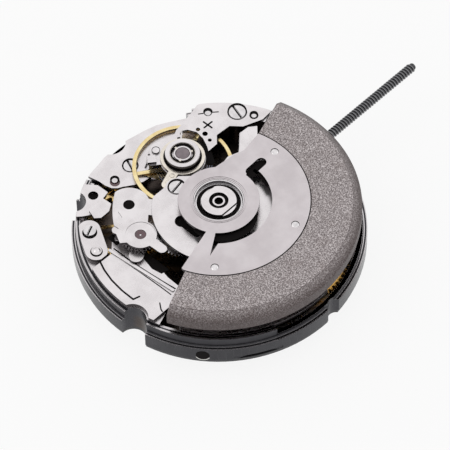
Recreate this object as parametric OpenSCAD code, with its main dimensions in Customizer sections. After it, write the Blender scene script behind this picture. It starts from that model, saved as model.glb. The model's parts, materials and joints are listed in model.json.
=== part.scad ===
/* [Casing] */
// Radius of the casing flange
casing_r = 13.0; // [12.8:0.05:13.4]
// Top of the casing flange above the dial seat
flange_z = 1.95; // [1.8:0.01:2.0]
// Thickness of the dial spacer ring
spacer_t = 0.35; // [0.25:0.01:0.38]
// Radius of the raised rim round the movement
rim_r = 12.6; // [12.55:0.01:12.7]
// Top of the raised rim
rim_z = 2.95; // [2.8:0.01:3.0]
// Radius of a dial foot hole
foot_r = 0.4; // [0.3:0.05:0.45]

/* [Stem] */
// Radius of the threaded winding stem
stem_r = 0.45; // [0.4:0.01:0.48]
// Distance of the stem tip from the centre
stem_reach = 25.0; // [18:0.1:26]
// Height of the stem axis above the dial seat
stem_z = 2.0; // [1.96:0.01:2.02]
// How far the stem pulls out for setting
stem_pull = 1.0; // [0.5:0.05:1.0]

/* [Hands] */
// Radius of the hour pipe
hour_pipe_r = 0.82; // [0.81:0.01:0.84]
// Length of the hour pipe below the dial seat
hour_pipe_drop = 0.75; // [0.5:0.05:0.9]
// Radius of the cannon pinion's post
cannon_r = 0.5; // [0.49:0.01:0.51]
// Length of the cannon pinion below the dial seat
cannon_drop = 1.25; // [1.1:0.05:1.4]
// Radius of the seconds post
seconds_r = 0.09; // [0.07:0.01:0.1]
// Length of the seconds post below the dial seat
seconds_drop = 1.9; // [1.6:0.05:2.2]

/* [Going train] */
// Distance from the centre to the third arbor, and on to the fourth
third_distance = 3.94; // [3.93:0.01:3.96]
// Direction of the third and fourth arbors
third_angle = 130.8; // [130:0.1:131.5]
// Module of the barrel teeth
barrel_m = 0.1536; // [0.153:0.0001:0.154]
// Module of the fourth wheel's teeth
fourth_m = 0.092; // [0.091:0.0005:0.0925]
// Radius of the escape wheel
escape_r = 1.6; // [1.4:0.05:1.62]

/* [Balance] */
// Balance axis, outwards along the stem
balance_x = 1.87; // [1.82:0.01:1.9]
// Balance axis, across the stem
balance_y = 6.35; // [6.3:0.01:6.4]
// Outer radius of the balance rim
balance_r = 4.5; // [4.4:0.01:4.52]
// Width of the balance rim
balance_rim_w = 0.38; // [0.3:0.01:0.5]
// Thickness of the hairspring blade
hairspring_t = 0.04; // [0.02:0.005:0.04]
// Turns of the hairspring
hairspring_turns = 5; // [4:1:5]
// Radius of the shock setting's block
shock_r = 1.55; // [1.5:0.01:1.58]
// Radius of the cap jewel
cap_jewel_r = 0.62; // [0.5:0.01:0.66]

/* [Winding] */
// Radius of the automatic bridge's disc
disc_r = 5.87; // [5.7:0.01:5.95]
// Module of the automatic winding wheels
auto_m = 0.1; // [0.098:0.001:0.102]
// Thickness of the automatic winding wheels
auto_t = 0.25; // [0.15:0.01:0.28]
// Radius of the crown wheel over its teeth
crown_r = 2.22; // [2.0:0.01:2.24]

/* [Rotor] */
// Radius of the rotor weight
rotor_r = 12.5; // [12.3:0.01:12.6]
// Radius of the weight's inner edge
weight_inner_r = 8.07; // [7.9:0.01:8.4]
// Radius where the weight's flat top ends
weight_flat_r = 11.68; // [11.4:0.01:11.9]
// Radius where the deep skirt of the weight starts
skirt_r = 9.6; // [9.55:0.01:9.8]
// Underside of the weight's skirt
skirt_z = 3.9; // [3.88:0.01:4.2]
// Top of the rotor
rotor_z = 6.05; // [6.0:0.01:6.2]
// Thickness of the rotor plate
rotor_t = 0.3; // [0.25:0.01:0.32]
// First end of the weight's arc
weight_a0 = -156.3; // [-160:0.1:-150]
// Second end of the weight's arc
weight_a1 = 18.7; // [15:0.1:22]
// Radius of a rotor rivet
rivet_r = 0.35; // [0.25:0.01:0.4]
// Radius of the bearing nut
nut_r = 1.58; // [1.5:0.01:1.62]

/* [Hidden] */
$fn = 48;

// Clearances: a running pivot, a sliding seat, and the air left round a moving piece
run_c = 0.02;
slide_c = 0.03;
air = 0.08;
// How far a cutting tool runs past the face that it cuts
past = 0.5;
steel = "#9a9b9f";
nickel = "#d9d5d6";
gold = "#c9a85c";
ruby = "#7c1230";
dark = "#3a3b40";

function pol(r, a) = [r * cos(a), r * sin(a)];
// Third corner of a triangle with sides rp and rq from corners p and q
function meet(p, rp, q, rq, side) =
  let (d = norm(q - p), x = (rp * rp - rq * rq + d * d) / (2 * d), u = (q - p) / d)
  p + x * u + side * sqrt(rp * rp - x * x) * [-u.y, u.x];
function heading(p, q) = atan2(q.y - p.y, q.x - p.x);
// Turns a wheel's teeth to mesh with a neighbour in direction a that has na teeth from angle pa
function mesh(a, pa, na, nb) = a + 180 + (a - pa) * na / nb + 180 / nb;

// Tooth counts
barrel_n = 72;
centre_pinion_n = 12;
centre_n = 64;
third_pinion_n = 8;
third_n = 60;
fourth_pinion_n = 8;
fourth_n = 80;
escape_pinion_n = 7;
escape_n = 15;
ratchet_n = 112;
cannon_n = 12;
minute_n = 36;
minute_pinion_n = 10;
hour_n = 40;
date_hub_n = 36;
date_n = 72;
setting_n = 30;
rotor_gear_n = 32;
intermediate_n = 46;
reverser_n = 30;
reduction_n = 34;
reduction_pinion_n = 12;
crown_n = 26;

// Modules that follow from the arbor distances
centre_m = 2 * third_distance / (centre_n + third_pinion_n);
third_m = 2 * third_distance / (third_n + fourth_pinion_n);
motion_d = 2.6;
cannon_m = 2 * motion_d / (cannon_n + minute_n);
hour_m = 2 * motion_d / (hour_n + minute_pinion_n);
date_m = 0.1;
ratchet_m = 0.1;

// Arbor places
origin = [0, 0];
barrel_c = pol(barrel_m * (barrel_n + centre_pinion_n) / 2, -70.5);
third_c = pol(third_distance, third_angle);
fourth_c = pol(2 * third_distance, third_angle);
escape_c = fourth_c + pol(fourth_m * (fourth_n + escape_pinion_n) / 2, 64.3);
balance_c = [balance_x, balance_y];
lever_a = heading(escape_c, balance_c);
pallet_c = escape_c + pol(escape_r * 1.17, lever_a);
minute_c = pol(motion_d, 37);
date_c = pol(date_m * (date_hub_n + date_n) / 2, 200);
setting_c = [5.3, 0];
intermediate_c = pol(auto_m * (rotor_gear_n + intermediate_n) / 2, 174);
reverser_c = intermediate_c + pol(auto_m * (intermediate_n + reverser_n) / 2, 137.6);
reduction_c = meet(intermediate_c, auto_m * (intermediate_n + reduction_n) / 2,
  barrel_c, ratchet_m * (ratchet_n + reduction_pinion_n) / 2, -1);
crown_c = [7.4, 0];

// Levels, from the dial side up
web_z0 = 0.95;
web_z1 = 1.35;
ring_seat_z = spacer_t + 0.05;
centre_z = 1.43;
drum_z = 1.65;
barrel_tooth_t = 0.25;
fourth_z = 1.75;
cock_low_z = 1.99;
escape_z = 2.1;
third_z = 2.2;
wheel_t = 0.13;
roller_z = 2.34;
pallet_bridge_z = 2.42;
drum_top = 2.55;
escape_bridge_z = 2.62;
escape_bridge_t = 0.28;
barrel_bridge_z = 2.65;
barrel_bridge_t = 0.35;
barrel_bridge_top = barrel_bridge_z + barrel_bridge_t;
rim_low_z = 3.0;
balance_t = 0.3;
ratchet_z = barrel_bridge_top + air;
ratchet_t = 0.22;
hairspring_z = 3.4;
hairspring_h = 0.12;
cock_z = 3.58;
cock_t = 0.2;
train_z = 3.75;
train_t = 0.2;
auto_z = 4.1;
cock_head_z = 4.05;
cock_head_t = 0.25;
reverser_bridge_z = 4.45;
disc_z = 4.7;
disc_t = 0.3;
shock_z = 5.2;
gear_flange_z = 5.06;
race_z = 5.2;
race_top = 5.64;
plate_z = rotor_z - rotor_t;
side_z = 3.25;
side_t = 0.35;
clamp_t = 0.1;

// Screws: radius of heads and shanks
head_r = 0.78;
small_head_r = 0.5;
slot_w = 0.2;
well_gap = 0.09;
shank_r = 0.3;
small_head_t = 0.14;
jewel_r = 0.4;
jewel_hole_r = 0.1;
pivot_r = jewel_hole_r - run_c;

// Arbors and bores one inside the other on the centre line
arbor_r = 0.245;
centre_post_r = 0.335;
centre_pivot_r = 0.345;
centre_hub_r = 0.66;
cannon_body_r = 0.66;
hour_neck_r = 0.98;
centre_jewel_r = 0.655;
tip_tube_r = 0.66;
hour_shoulder_z = 0.02;
step = 0.02;

// Feet of the bridges
post_r = 0.55;
train_left = [-5.2, -3.4];
train_right = [4.8, 2.2];
train_pad = [-8.2, 2.0];
disc_foot = [0.5, -4.9];
disc_screw = [-1.05, 4.15];
rev_foot = [-7.8, 4.8];
rev_lug = [-3.4, 3.6];
barrel_feet = [[10.6, -4.2], [-7.2, -8.6], [-4.6, -6.2]];
cock_screw = [9.19, 6.81];
cock_pin = [7.3, 8.62];
cock_hole = [9.95, 5.47];
escape_screw = [-1.2, 9.9];
pallet_foot = [0.9, 9.4];
centre_foot = [4.3, 1.0];
clamp_screw = [-9.07, 6.9];
clamp_pin = [-10.1, 5.0];
corner_hole = [-5.95, 9.7];
side_feet = [[-11.3, 1.8], [-11.2, -3.0]];
calendar_posts = [[-6.2, 6.2], [5.6, 6.6], [1.2, -8.5]];
dial_foot_a = -141.7;
dial_foot_at = casing_r - 0.7;
foot_top = 1.75;

module at(p, z = 0) translate([p.x, p.y, z]) children();
module disc(r, z0, z1) translate([0, 0, z0]) cylinder(r = r, h = z1 - z0);
module tube(ro, ri, z0, z1) difference() {
  disc(ro, z0, z1);
  disc(ri, z0 - past, z1 + past);
}
module slab(z0, z1) translate([0, 0, z0]) linear_extrude(z1 - z0) children();
module bar(p, q, w) {
  translate(p) circle(d = w);
  translate(q) circle(d = w);
  translate(p) rotate(heading(p, q)) translate([0, -w / 2]) square([norm(q - p), w]);
}
// Wedge between two directions, for cutting a sector out of a ring
module wedge(r, a0, a1) polygon(concat([[0, 0]], [for (i = [0:4]) pol(r, a0 + (a1 - a0) * i / 4)]));
// Flat wheel outline with tapered teeth, one of them at angle a
module teeth(m, n, a = 0) polygon([for (i = [0:n - 1]) for (e = [[-0.32, -1.1], [-0.13, 0.85],
  [0.13, 0.85], [0.32, -1.1]]) pol(m * (n / 2 + e[1]), a + (i + e[0]) * 360 / n)]);
// Train wheel with crossed spokes
module spoked(m, n, a, t, spokes = 5, hub = 0.7, rim = 0.32) {
  inner = m * n / 2 - 1.1 * m - rim;
  linear_extrude(t) {
    difference() {
      teeth(m, n, a);
      circle(r = inner);
    }
    circle(r = hub);
    for (i = [0:spokes - 1]) rotate(a + i * 360 / spokes) translate([0, -0.14])
      square([inner + rim / 2, 0.28]);
  }
}
// Spiral blade from radius r0 to r1
function spiral(r0, r1, turns, off, n = 24) =
  [for (i = [0:turns * n]) pol(r0 + (r1 - r0) * i / (turns * n) + off, i * 360 / n)];
module spiral_blade(r0, r1, turns, t) polygon(concat(spiral(r0, r1, turns, t / 2),
  [for (i = [len(spiral(r0, r1, turns, 0)) - 1:-1:0]) spiral(r0, r1, turns, -t / 2)[i]]));
// Slotted cheese-head screw whose head top is at z
module screw(z, hr, depth, ht, sr) {
  difference() {
    disc(hr - well_gap, z - ht, z);
    translate([-hr, -slot_w / 2, z - ht * 0.55]) cube([2 * hr, slot_w, ht]);
  }
  disc(sr, z - ht - depth, z - ht);
}
// Seat for that screw in a plate: head well and shank bore
module screw_seat(z, hr, depth, ht, sr) {
  disc(hr + slide_c, z - ht, z + past);
  disc(sr, z - ht - depth, z);
}

stem_slot_w = 1.9;
clutch_r = 0.82;
stem_groove_x = 10.5;
pinion_x = 9.15;
pinion_w = 0.9;
clutch_x = 7.3;
clutch_w = 1.1;
square_w = 0.5;

// Round notches in the casing edge: direction, distance and radius
notches = [[189.6, casing_r, 1.25], [-85.6, casing_r + 0.3, 0.8], [126, casing_r - 0.05, 1.1]];
low_cut = flange_z - 0.95;

// Main plate: flange, web, raised rim and the pillars under the bridges
module main_plate() color(dark) difference() {
  union() {
    tube(casing_r, casing_r - 1.25, spacer_t, flange_z);
    tube(casing_r - 1.2, 9.5, ring_seat_z, web_z1);
    disc(9.6, web_z0, web_z1);
    difference() {
      tube(rim_r, rim_r - 0.4, flange_z, rim_z);
      slab(flange_z + 0.35, rim_z + past) wedge(30, -112, -40);
      slab(flange_z + 0.3, rim_z + past) wedge(30, 56, 113.2);
    }
    difference() {
      tube(rim_r - 0.3, 11.86, web_z1, escape_bridge_z);
      slab(web_z1, rim_z) wedge(30, -130, 22);
      slab(web_z1, rim_z) wedge(30, 22, 55);
    }
    difference() {
      tube(rim_r - 0.3, 10.9, web_z1, side_z);
      slab(web_z1 - past, side_z + past) wedge(30, -160, 8);
      slab(web_z1 - past, side_z + past) wedge(30, 8, 60);
      slab(web_z1 - past, side_z + past) wedge(30, 60, 145);
    }
    difference() {
      tube(rim_r - 0.3, 11.1, web_z1, cock_z);
      slab(web_z1 - past, cock_z + past) wedge(30, 53, 200);
      slab(web_z1 - past, cock_z + past) wedge(30, 200, 383);
    }
    for (p = barrel_feet) at(p) disc(post_r, web_z1, barrel_bridge_z);
    for (p = [cock_screw, cock_pin]) at(p) disc(post_r + 0.25, web_z1, cock_z);
    at(train_right) disc(post_r, web_z1, train_z);
    at(centre_foot) disc(0.45, web_z1, cock_low_z);
    at(pallet_foot) disc(0.5, web_z1, pallet_bridge_z);
    at(escape_screw) disc(0.36, web_z1, escape_bridge_z);
    for (p = calendar_posts) at(p) disc(0.6, 0.14, web_z0);
    translate([10.3, -0.8, web_z1]) cube([2.0, 1.6, 1.3]);
    translate([5.0, -0.5, web_z1]) cube([0.9, 1.0, 1.15]);
  }
  for (a = notches) at(pol(a[1], a[0])) disc(a[2], -past, 5);
  slab(-past, spacer_t + 0.5) wedge_chord();
  slab(low_cut, rim_z + past) difference() {
    wedge(30, 58, 113.2);
    circle(r = casing_r - 2);
    low_outline();
  }
  slab(low_cut, rim_z + past) difference() {
    wedge(30, 113.2, 120.5);
    circle(r = rim_r);
  }
  for (a = [dial_foot_a, dial_foot_a + 180]) {
    at(pol(dial_foot_at, a)) disc(foot_r, -past, foot_top);
    side_bore(a);
  }
  translate([4.9, 0, stem_z]) rotate([0, 90, 0]) cylinder(r = 0.22, h = 2);
  translate([9, 0, stem_z]) rotate([0, 90, 0]) cylinder(r = stem_bearing_r + run_c, h = 6);
  translate([6.3, -stem_slot_w / 2, 1.12]) cube([10.15 - 6.3, stem_slot_w, 3]);
  translate([6.6, -0.3, 0]) cube([1.7, 0.6, 2]);
  translate([10.2, -0.45, 0]) cube([1.7, 0.9, 1.7]);
  translate([6.4, -3.6, 0]) cube([11.8 - 6.4, 7.2, web_z0]);
  disc(centre_pivot_r + run_c, 0, 2);
  at(barrel_c) disc(barrel_tip_r + air, drum_z - 0.1, rim_z + past);
  at(barrel_c) disc(stem_r + run_c, 0, 2);
  for (p = [third_c, fourth_c, escape_c, pallet_c, balance_c]) at(p) disc(jewel_r, 0, 2);
  for (p = barrel_feet) at(p) disc(shank_r, web_z1 - 0.2, 5);
  at(cock_screw) disc(shank_r, 2, 5);
  at(train_right) disc(shank_r, 2, 5);
  for (p = calendar_posts) at(p) disc(0.25, 0, 0.8);
  at(centre_foot) disc(0.2, web_z1 - 0.2, 3);
  at(pallet_foot) disc(0.2, web_z1 - 0.2, 3);
  at(escape_screw) disc(0.2, web_z1 - 0.2, 3);
  at(clamp_screw) disc(shank_r, 2.2, 5);
}
module wedge_chord() translate([pol(casing_r - 0.25, -120).x, pol(casing_r - 0.25, -120).y])
  rotate(-120) translate([0, -2.2]) square([3, 4.4]);
side_hole_z = 1.05;
side_hole_r = 0.55;
module side_bore(a) rotate(a) translate([dial_foot_at + foot_r / 2, 0, side_hole_z])
  rotate([0, 90, 0]) cylinder(r = side_hole_r, h = 3);

module dial_spacer_ring() color(dark) difference() {
  tube(casing_r - 0.1, casing_r - 1.3, 0, spacer_t);
  for (a = [dial_foot_a, dial_foot_a + 180]) at(pol(dial_foot_at, a)) disc(foot_r, -1, 1);
  for (a = notches) at(pol(a[1], a[0])) disc(a[2], -past, 5);
}
module calendar_plate() color(nickel) difference() {
  disc(casing_r - 3.1, 0.04, 0.14);
  disc(hour_neck_r + air, -1, 1);
  for (p = calendar_posts) at(p) disc(0.25, -1, 1);
}
date_tip_r = casing_r - 3.68;
module date_ring() color("#f4f2ee") slab(0.16, ring_seat_z - 0.03) difference() {
  circle(r = casing_r - 1.4);
  teeth_inside(31, date_tip_r, date_tip_r + 0.28);
}
// Outline with pointed notches whose tips reach out to r1
module teeth_inside(n, r0, r1) polygon([for (i = [0:n - 1]) for (e = [[0, r1], [0.5, r0]])
  pol(e[1], (i + e[0]) * 360 / n)]);

date_a = mesh(200, 0, date_hub_n, date_n);
module date_driving_wheel() color(gold) at(date_c) {
  difference() {
    translate([0, 0, 0.44]) spoked(date_m, date_n, date_a, 0.14);
    disc(0.3, -1, 3);
  }
  tube(0.7, 0.3, 0.22, 0.94);
  slab(0.22, 0.34) difference() {
    bar([0.7, 0], [3.6, 0], 0.4);
    circle(r = 0.6);
  }
}
module date_jumper() color(steel) slab(0.18, 0.34) difference() {
  union() {
    translate(jumper_c) circle(r = 0.55);
    bar(jumper_c, pol(9.05, 97), 0.3);
    bar(jumper_c, [5.0, 7.0] + [-0.9, 0], 0.2);
  }
  translate(jumper_c) circle(r = 0.25);
}
jumper_c = [1.6, 7.6];
hour_a = 0;
hour_z = 0.62;
module hour_wheel() color(gold) difference() {
  union() {
    disc(hour_pipe_r, -hour_pipe_drop, hour_shoulder_z);
    disc(hour_neck_r, hour_shoulder_z, 0.74);
    slab(0.44, 0.58) teeth(date_m, date_hub_n);
    slab(hour_z, 0.74) teeth(hour_m, hour_n, hour_a);
  }
  disc(cannon_body_r + run_c, -2, 3);
}
minute_pinion_a = mesh(37, hour_a, hour_n, minute_pinion_n);
cannon_a = mesh(217, 0, minute_n, cannon_n);
module minute_wheel() color(gold) at(minute_c) difference() {
  union() {
    slab(0.79, 0.91) teeth(cannon_m, minute_n, 0);
    slab(0.58, 0.80) teeth(hour_m, minute_pinion_n, minute_pinion_a);
  }
  disc(0.2, 0, 2);
}
module cannon_pinion() color(steel) difference() {
  union() {
    disc(cannon_r, -cannon_drop, -hour_pipe_drop - step);
    disc(cannon_body_r, -hour_pipe_drop - step, 0.77);
    slab(0.77, 0.92) teeth(cannon_m, cannon_n, cannon_a);
  }
  disc(centre_post_r, -3, 3);
}
centre_a = mesh(-70.5, 0, barrel_n, centre_pinion_n);
module centre_wheel() color(gold) difference() {
  union() {
    disc(centre_post_r, -cannon_drop + 0.1, web_z0);
    disc(centre_pivot_r, web_z0, centre_z);
    translate([0, 0, centre_z]) spoked(centre_m, centre_n, 0, wheel_t);
    disc(centre_hub_r, centre_z, cock_low_z - 0.02);
    slab(drum_z, drum_z + barrel_tooth_t) teeth(barrel_m, centre_pinion_n, centre_a);
    disc(centre_pivot_r - run_c, drum_z, cock_low_z + 0.12);
  }
  disc(arbor_r + run_c, -3, 4);
}
module centre_bridge() color(nickel) difference() {
  slab(cock_low_z, cock_low_z + 0.14) {
    circle(r = 0.75);
    bar([0, 0], centre_foot, 0.9);
  }
  disc(centre_pivot_r, 0, 4);
  at(centre_foot) disc(0.2, 0, 4);
}
third_pinion_a = mesh(third_angle, 0, centre_n, third_pinion_n);
module third_wheel() color(gold) at(third_c) {
  translate([0, 0, third_z]) spoked(third_m, third_n, 0, wheel_t);
  slab(centre_z - 0.02, centre_z + 0.19) teeth(centre_m, third_pinion_n, third_pinion_a);
  disc(0.16, web_z1 + 0.02, train_z - 0.02);
  disc(pivot_r, web_z0 + 0.1, train_z + 0.15);
}
fourth_pinion_a = mesh(third_angle, 0, third_n, fourth_pinion_n);
module fourth_wheel() color(gold) at(fourth_c) {
  translate([0, 0, fourth_z]) spoked(fourth_m, fourth_n, 0, wheel_t);
  slab(third_z - 0.05, third_z + 0.2) teeth(third_m, fourth_pinion_n, fourth_pinion_a);
  disc(0.16, web_z1 + 0.02, reverser_bridge_z - 0.02);
  disc(pivot_r, web_z0 + 0.1, reverser_bridge_z + 0.12);
}
seconds_a = mesh(third_angle + 180, 0, third_n, fourth_pinion_n);
module centre_seconds_pinion() color(steel) {
  slab(third_z - 0.03, third_z + 0.2) teeth(third_m, fourth_pinion_n, seconds_a);
  disc(seconds_r, -seconds_drop, -cannon_drop - step);
  disc(arbor_r, -cannon_drop - step, train_z + 0.12);
  disc(arbor_r + 0.05, third_z, train_z - 0.02);
}
escape_pinion_a = mesh(64.3, 0, fourth_n, escape_pinion_n);
module escape_wheel() color(gold) at(escape_c) {
  slab(escape_z, escape_z + 0.12) {
    difference() {
      polygon([for (i = [0:escape_n - 1]) for (e = [[0, 0], [0.14, 0.02], [0.5, 0.36], [0.9, 0.36]])
        pol(escape_r - e[1], (i + e[0]) * 360 / escape_n)]);
      circle(r = escape_r - 0.56);
    }
    circle(r = 0.35);
    for (i = [0:3]) rotate(i * 90) translate([0, -0.08]) square([escape_r - 0.5, 0.16]);
  }
  slab(fourth_z - 0.03, fourth_z + 0.18) teeth(fourth_m, escape_pinion_n, escape_pinion_a);
  disc(0.14, web_z1 + 0.02, escape_bridge_z - 0.02);
  disc(pivot_r, web_z0 + 0.1, escape_bridge_z + 0.13);
}
fork_z = escape_z - 0.02;
fork_len = norm(balance_c - pallet_c);
module pallet_fork() color(steel) at(pallet_c) rotate(lever_a) {
  slab(fork_z, fork_z + 0.16) {
    circle(r = 0.34);
    translate([0, -0.13]) square([fork_len - 1.5, 0.26]);
    for (s = [-1, 1]) {
      bar([fork_len - 1.6, 0], [fork_len - 0.98, s * 0.26], 0.16);
      bar([0, 0], [-0.25, s * 0.76], 0.26);
      bar([-0.25, s * 0.76], [-0.42, s * 0.9], 0.2);
    }
  }
  disc(0.13, web_z1 + 0.02, pallet_bridge_z - 0.02);
  disc(pivot_r, web_z0 + 0.1, pallet_bridge_z + 0.12);
}
module pallet_bridge() color(nickel) difference() {
  slab(pallet_bridge_z, pallet_bridge_z + 0.14) {
    translate(pallet_c) circle(r = 0.6);
    bar(pallet_c, pallet_foot, 0.9);
  }
  at(pallet_c) disc(jewel_hole_r, 0, 4);
  at(pallet_foot) disc(0.2, 0, 4);
}
scallop_c = [-0.6, 13.0];
escape_bridge_top = escape_bridge_z + escape_bridge_t;
// Edge of the low plate that carries the escape wheel and runs on under the balance rim
module low_outline() difference() {
  polygon([[-4.62, 11.72], [-4.33, 10.65], [-4.28, 9.95], [-4.08, 9.32], [-3.7, 8.92], [-3.3, 8.72],
    [-2.3, 8.05], [-1.6, 7.8], [-0.9, 7.7], [-0.3, 7.9], [-0.5, 8.8], [0.2, 9.15], [0.81, 9.26],
    [2.41, 8.98], [3.93, 8.43], [4.93, 7.89], [5.6, 8.6], [6.3, 9.95], [6.03, 10.05],
    [4.57, 10.91], [3.57, 11.45], [2.4, 11.78], [1.29, 12.0], [0.4, 12.17], [-0.6, 12.3],
    [-2.2, 12.2], [-3.21, 12.0], [-3.9, 11.9]]);
  translate(scallop_c) circle(r = 1.35);
}
module escape_bridge() color(nickel) difference() {
  slab(escape_bridge_z, escape_bridge_top) low_outline();
  at(escape_c) disc(jewel_r + 0.05, 0, 5);
  at(escape_screw) screw_seat(escape_bridge_top, 0.7, 0.5, 0.16, 0.2);
}

arm_z = rim_low_z + 0.02;
staff_r = 0.2;
module balance_wheel() color(gold) at(balance_c) difference() {
  union() {
    tube(balance_r, balance_r - balance_rim_w, rim_low_z, rim_low_z + balance_t);
    slab(arm_z, arm_z + 0.12) {
      circle(r = 0.7);
      for (i = [0:2]) rotate(25 + i * 120) translate([0, -0.2])
        square([balance_r - balance_rim_w / 2, 0.4]);
    }
  }
  disc(staff_r, 0, 5);
}
module balance_staff() color(steel) at(balance_c) {
  disc(staff_r, roller_z, cock_head_z - 0.15);
  disc(0.5, arm_z - 0.1, arm_z);
  disc(0.4, hairspring_z - 0.08, hairspring_z + 0.16);
  disc(pivot_r, web_z0 + 0.1, cock_head_z + 0.2);
  disc(0.15, web_z1 + 0.03, roller_z);
  disc(1.15, roller_z, roller_z + 0.12);
  rotate(lever_a + 180) translate([0.98, 0]) disc(0.09, fork_z + 0.02, roller_z);
}
stud_at = [-0.29, 8.06];
stud_d = norm(stud_at - balance_c);
hair_r0 = 0.44;
module hairspring() color("#4a5a86") at(balance_c) rotate(heading(balance_c, stud_at))
  slab(hairspring_z, hairspring_z + hairspring_h)
    spiral_blade(hair_r0, stud_d - 0.06, hairspring_turns, hairspring_t);
hair_gap = min([for (i = [0:(hairspring_turns - 1) * 24])
  norm(spiral(hair_r0, stud_d - 0.06, hairspring_turns, 0)[i + 24]
  - spiral(hair_r0, stud_d - 0.06, hairspring_turns, 0)[i])]) - hairspring_t;
echo("hairspring least gap to itself, mm", hair_gap);

stud_ring_z = cock_head_z + cock_head_t + 0.02;
stud_ring_t = 0.14;
reg_z = stud_ring_z + stud_ring_t + 0.02;
reg_t = 0.16;
ring_out = 2.0;
module stud_holder() color(nickel) {
  slab(stud_ring_z, stud_ring_z + stud_ring_t) difference() {
    union() {
      translate(balance_c) circle(r = ring_out);
      bar(stud_at, balance_c, 1.0);
      translate([0.7, 8.53]) circle(r = 0.62);
      bar([0.7, 8.53], balance_c, 1.2);
    }
    translate(balance_c) circle(r = shock_r + 0.06);
  }
  at(stud_at) rotate(heading(balance_c, stud_at)) {
    translate([-0.02, -0.1, hairspring_z - 0.05]) cube([0.28, 0.2, stud_ring_z - hairspring_z + 0.05]);
    translate([-0.4, -0.4, stud_ring_z + stud_ring_t]) cube([0.8, 0.8, 0.3]);
  }
  at([0.7, 8.53]) disc(0.33, stud_ring_z + stud_ring_t, stud_ring_z + stud_ring_t + 0.2);
}
reg_pins = [[-0.29, 5.51], [-1.02, 5.25]];
module regulator_arm() color(gold) {
  slab(reg_z, reg_z + reg_t) difference() {
    union() {
      translate(balance_c) circle(r = ring_out);
      bar(reg_pins[1] + [-0.25, -0.05], balance_c, 0.9);
    }
    translate(balance_c) circle(r = shock_r + 0.06);
  }
  for (p = reg_pins) at(p) disc(0.22, reg_z + reg_t, disc_z - 0.02);
  at(reg_pins[0]) disc(0.05, hairspring_z + 0.2, reg_z);
}
cock_top = cock_z + cock_t;
head_ring_r = 2.05;
// Balance cock: a low foot on the right and a raised head over the balance
module balance_cock() color(nickel) difference() {
  union() {
    slab(cock_z, cock_top) intersection() {
      circle(r = rim_r - 0.2);
      polygon([[3.3, 8.95], [3.98, 9.3], [4.84, 9.4], [5.58, 9.57], [6.38, 9.72], [7.24, 9.95],
        [8.3, 9.6], [12.4, 6.4], [12.6, 4.8], [10.2, 4.6], [8.4, 5.3], [7.6, 6.2], [6.1, 6.3],
        [5.4, 5.6], [4.3, 5.57], [4.59, 6.04], [4.98, 6.93], [5.08, 7.8], [4.71, 8.58],
        [4.3, 8.85], [3.5, 8.1], [3.0, 8.4]]);
    }
    slab(cock_head_z, cock_head_z + cock_head_t) {
      translate(balance_c) circle(r = head_ring_r);
      intersection() {
        circle(r = skirt_r - 0.2);
        translate(balance_c) circle(r = 3.15);
        translate(balance_c) wedge(12, 57, 125);
      }
    }
    slab(cock_z, cock_head_z + cock_head_t) intersection() {
      circle(r = skirt_r - 0.2);
      translate(balance_c) difference() {
        circle(r = 3.3);
        circle(r = 2.4);
      }
      translate(balance_c) wedge(12, 50, 64);
    }
  }
  at(balance_c) disc(shock_r, 0, 8);
  at(cock_screw) screw_seat(cock_top, 0.85, 1.0, 0.16, shank_r);
  at(cock_pin) disc(0.35, 0, 8);
  at(cock_hole) disc(0.4, 0, 8);
  for (p = [[5.38, 7.95, 0.19], [5.47, 7.16, 0.24], [5.26, 6.36, 0.17]]) at(p) disc(p[2], 0, 8);
}
module shock_setting() color(nickel) at(balance_c) difference() {
  disc(shock_r, cock_head_z, shock_z);
  disc(1.15, shock_z - 0.3, shock_z + 1);
  disc(0.5, cock_head_z + 0.3, shock_z);
  disc(jewel_hole_r + 0.02, 0, shock_z);
}
module shock_spring() color(gold) at(balance_c) slab(shock_z - 0.16, shock_z - 0.08) {
  difference() {
    circle(r = 1.15);
    circle(r = 0.95);
  }
  for (a = [90, 210, 330]) rotate(a) translate([cap_jewel_r, -0.1]) square([0.36, 0.2]);
}
module cap_jewel() color(ruby) at(balance_c) {
  disc(cap_jewel_r, shock_z - 0.3, shock_z - 0.04);
  disc(0.5, cock_head_z + 0.45, shock_z - 0.3);
}

drum_r = 5.25;
barrel_tip_r = barrel_m * (barrel_n / 2 + 0.85);
module barrel_drum() color(gold) at(barrel_c) difference() {
  union() {
    slab(drum_z, drum_z + barrel_tooth_t) teeth(barrel_m, barrel_n);
    disc(drum_r, drum_z, drum_top);
  }
  disc(drum_r - 0.2, drum_z + 0.15, 5);
  disc(0.5, 0, 5);
}
module barrel_cover() color(gold) at(barrel_c) tube(drum_r - 0.2, 0.62, drum_top - 0.15, drum_top);
module mainspring() color(steel) at(barrel_c) slab(drum_z + 0.2, drum_top - 0.2)
  spiral_blade(1.17, drum_r - 0.27, 9, 0.12);
ratchet_square = 0.8;
module barrel_arbor() color(steel) at(barrel_c) difference() {
  union() {
    disc(stem_r, web_z0 + 0.05, drum_z + 0.2);
    disc(1.1, drum_z + 0.19, drum_top - 0.19);
    disc(0.6, drum_top - 0.2, ratchet_z);
    translate([-ratchet_square / 2, -ratchet_square / 2, ratchet_z - 0.01])
      cube([ratchet_square, ratchet_square, ratchet_t]);
  }
  disc(shank_r, drum_top, 5);
}
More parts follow.
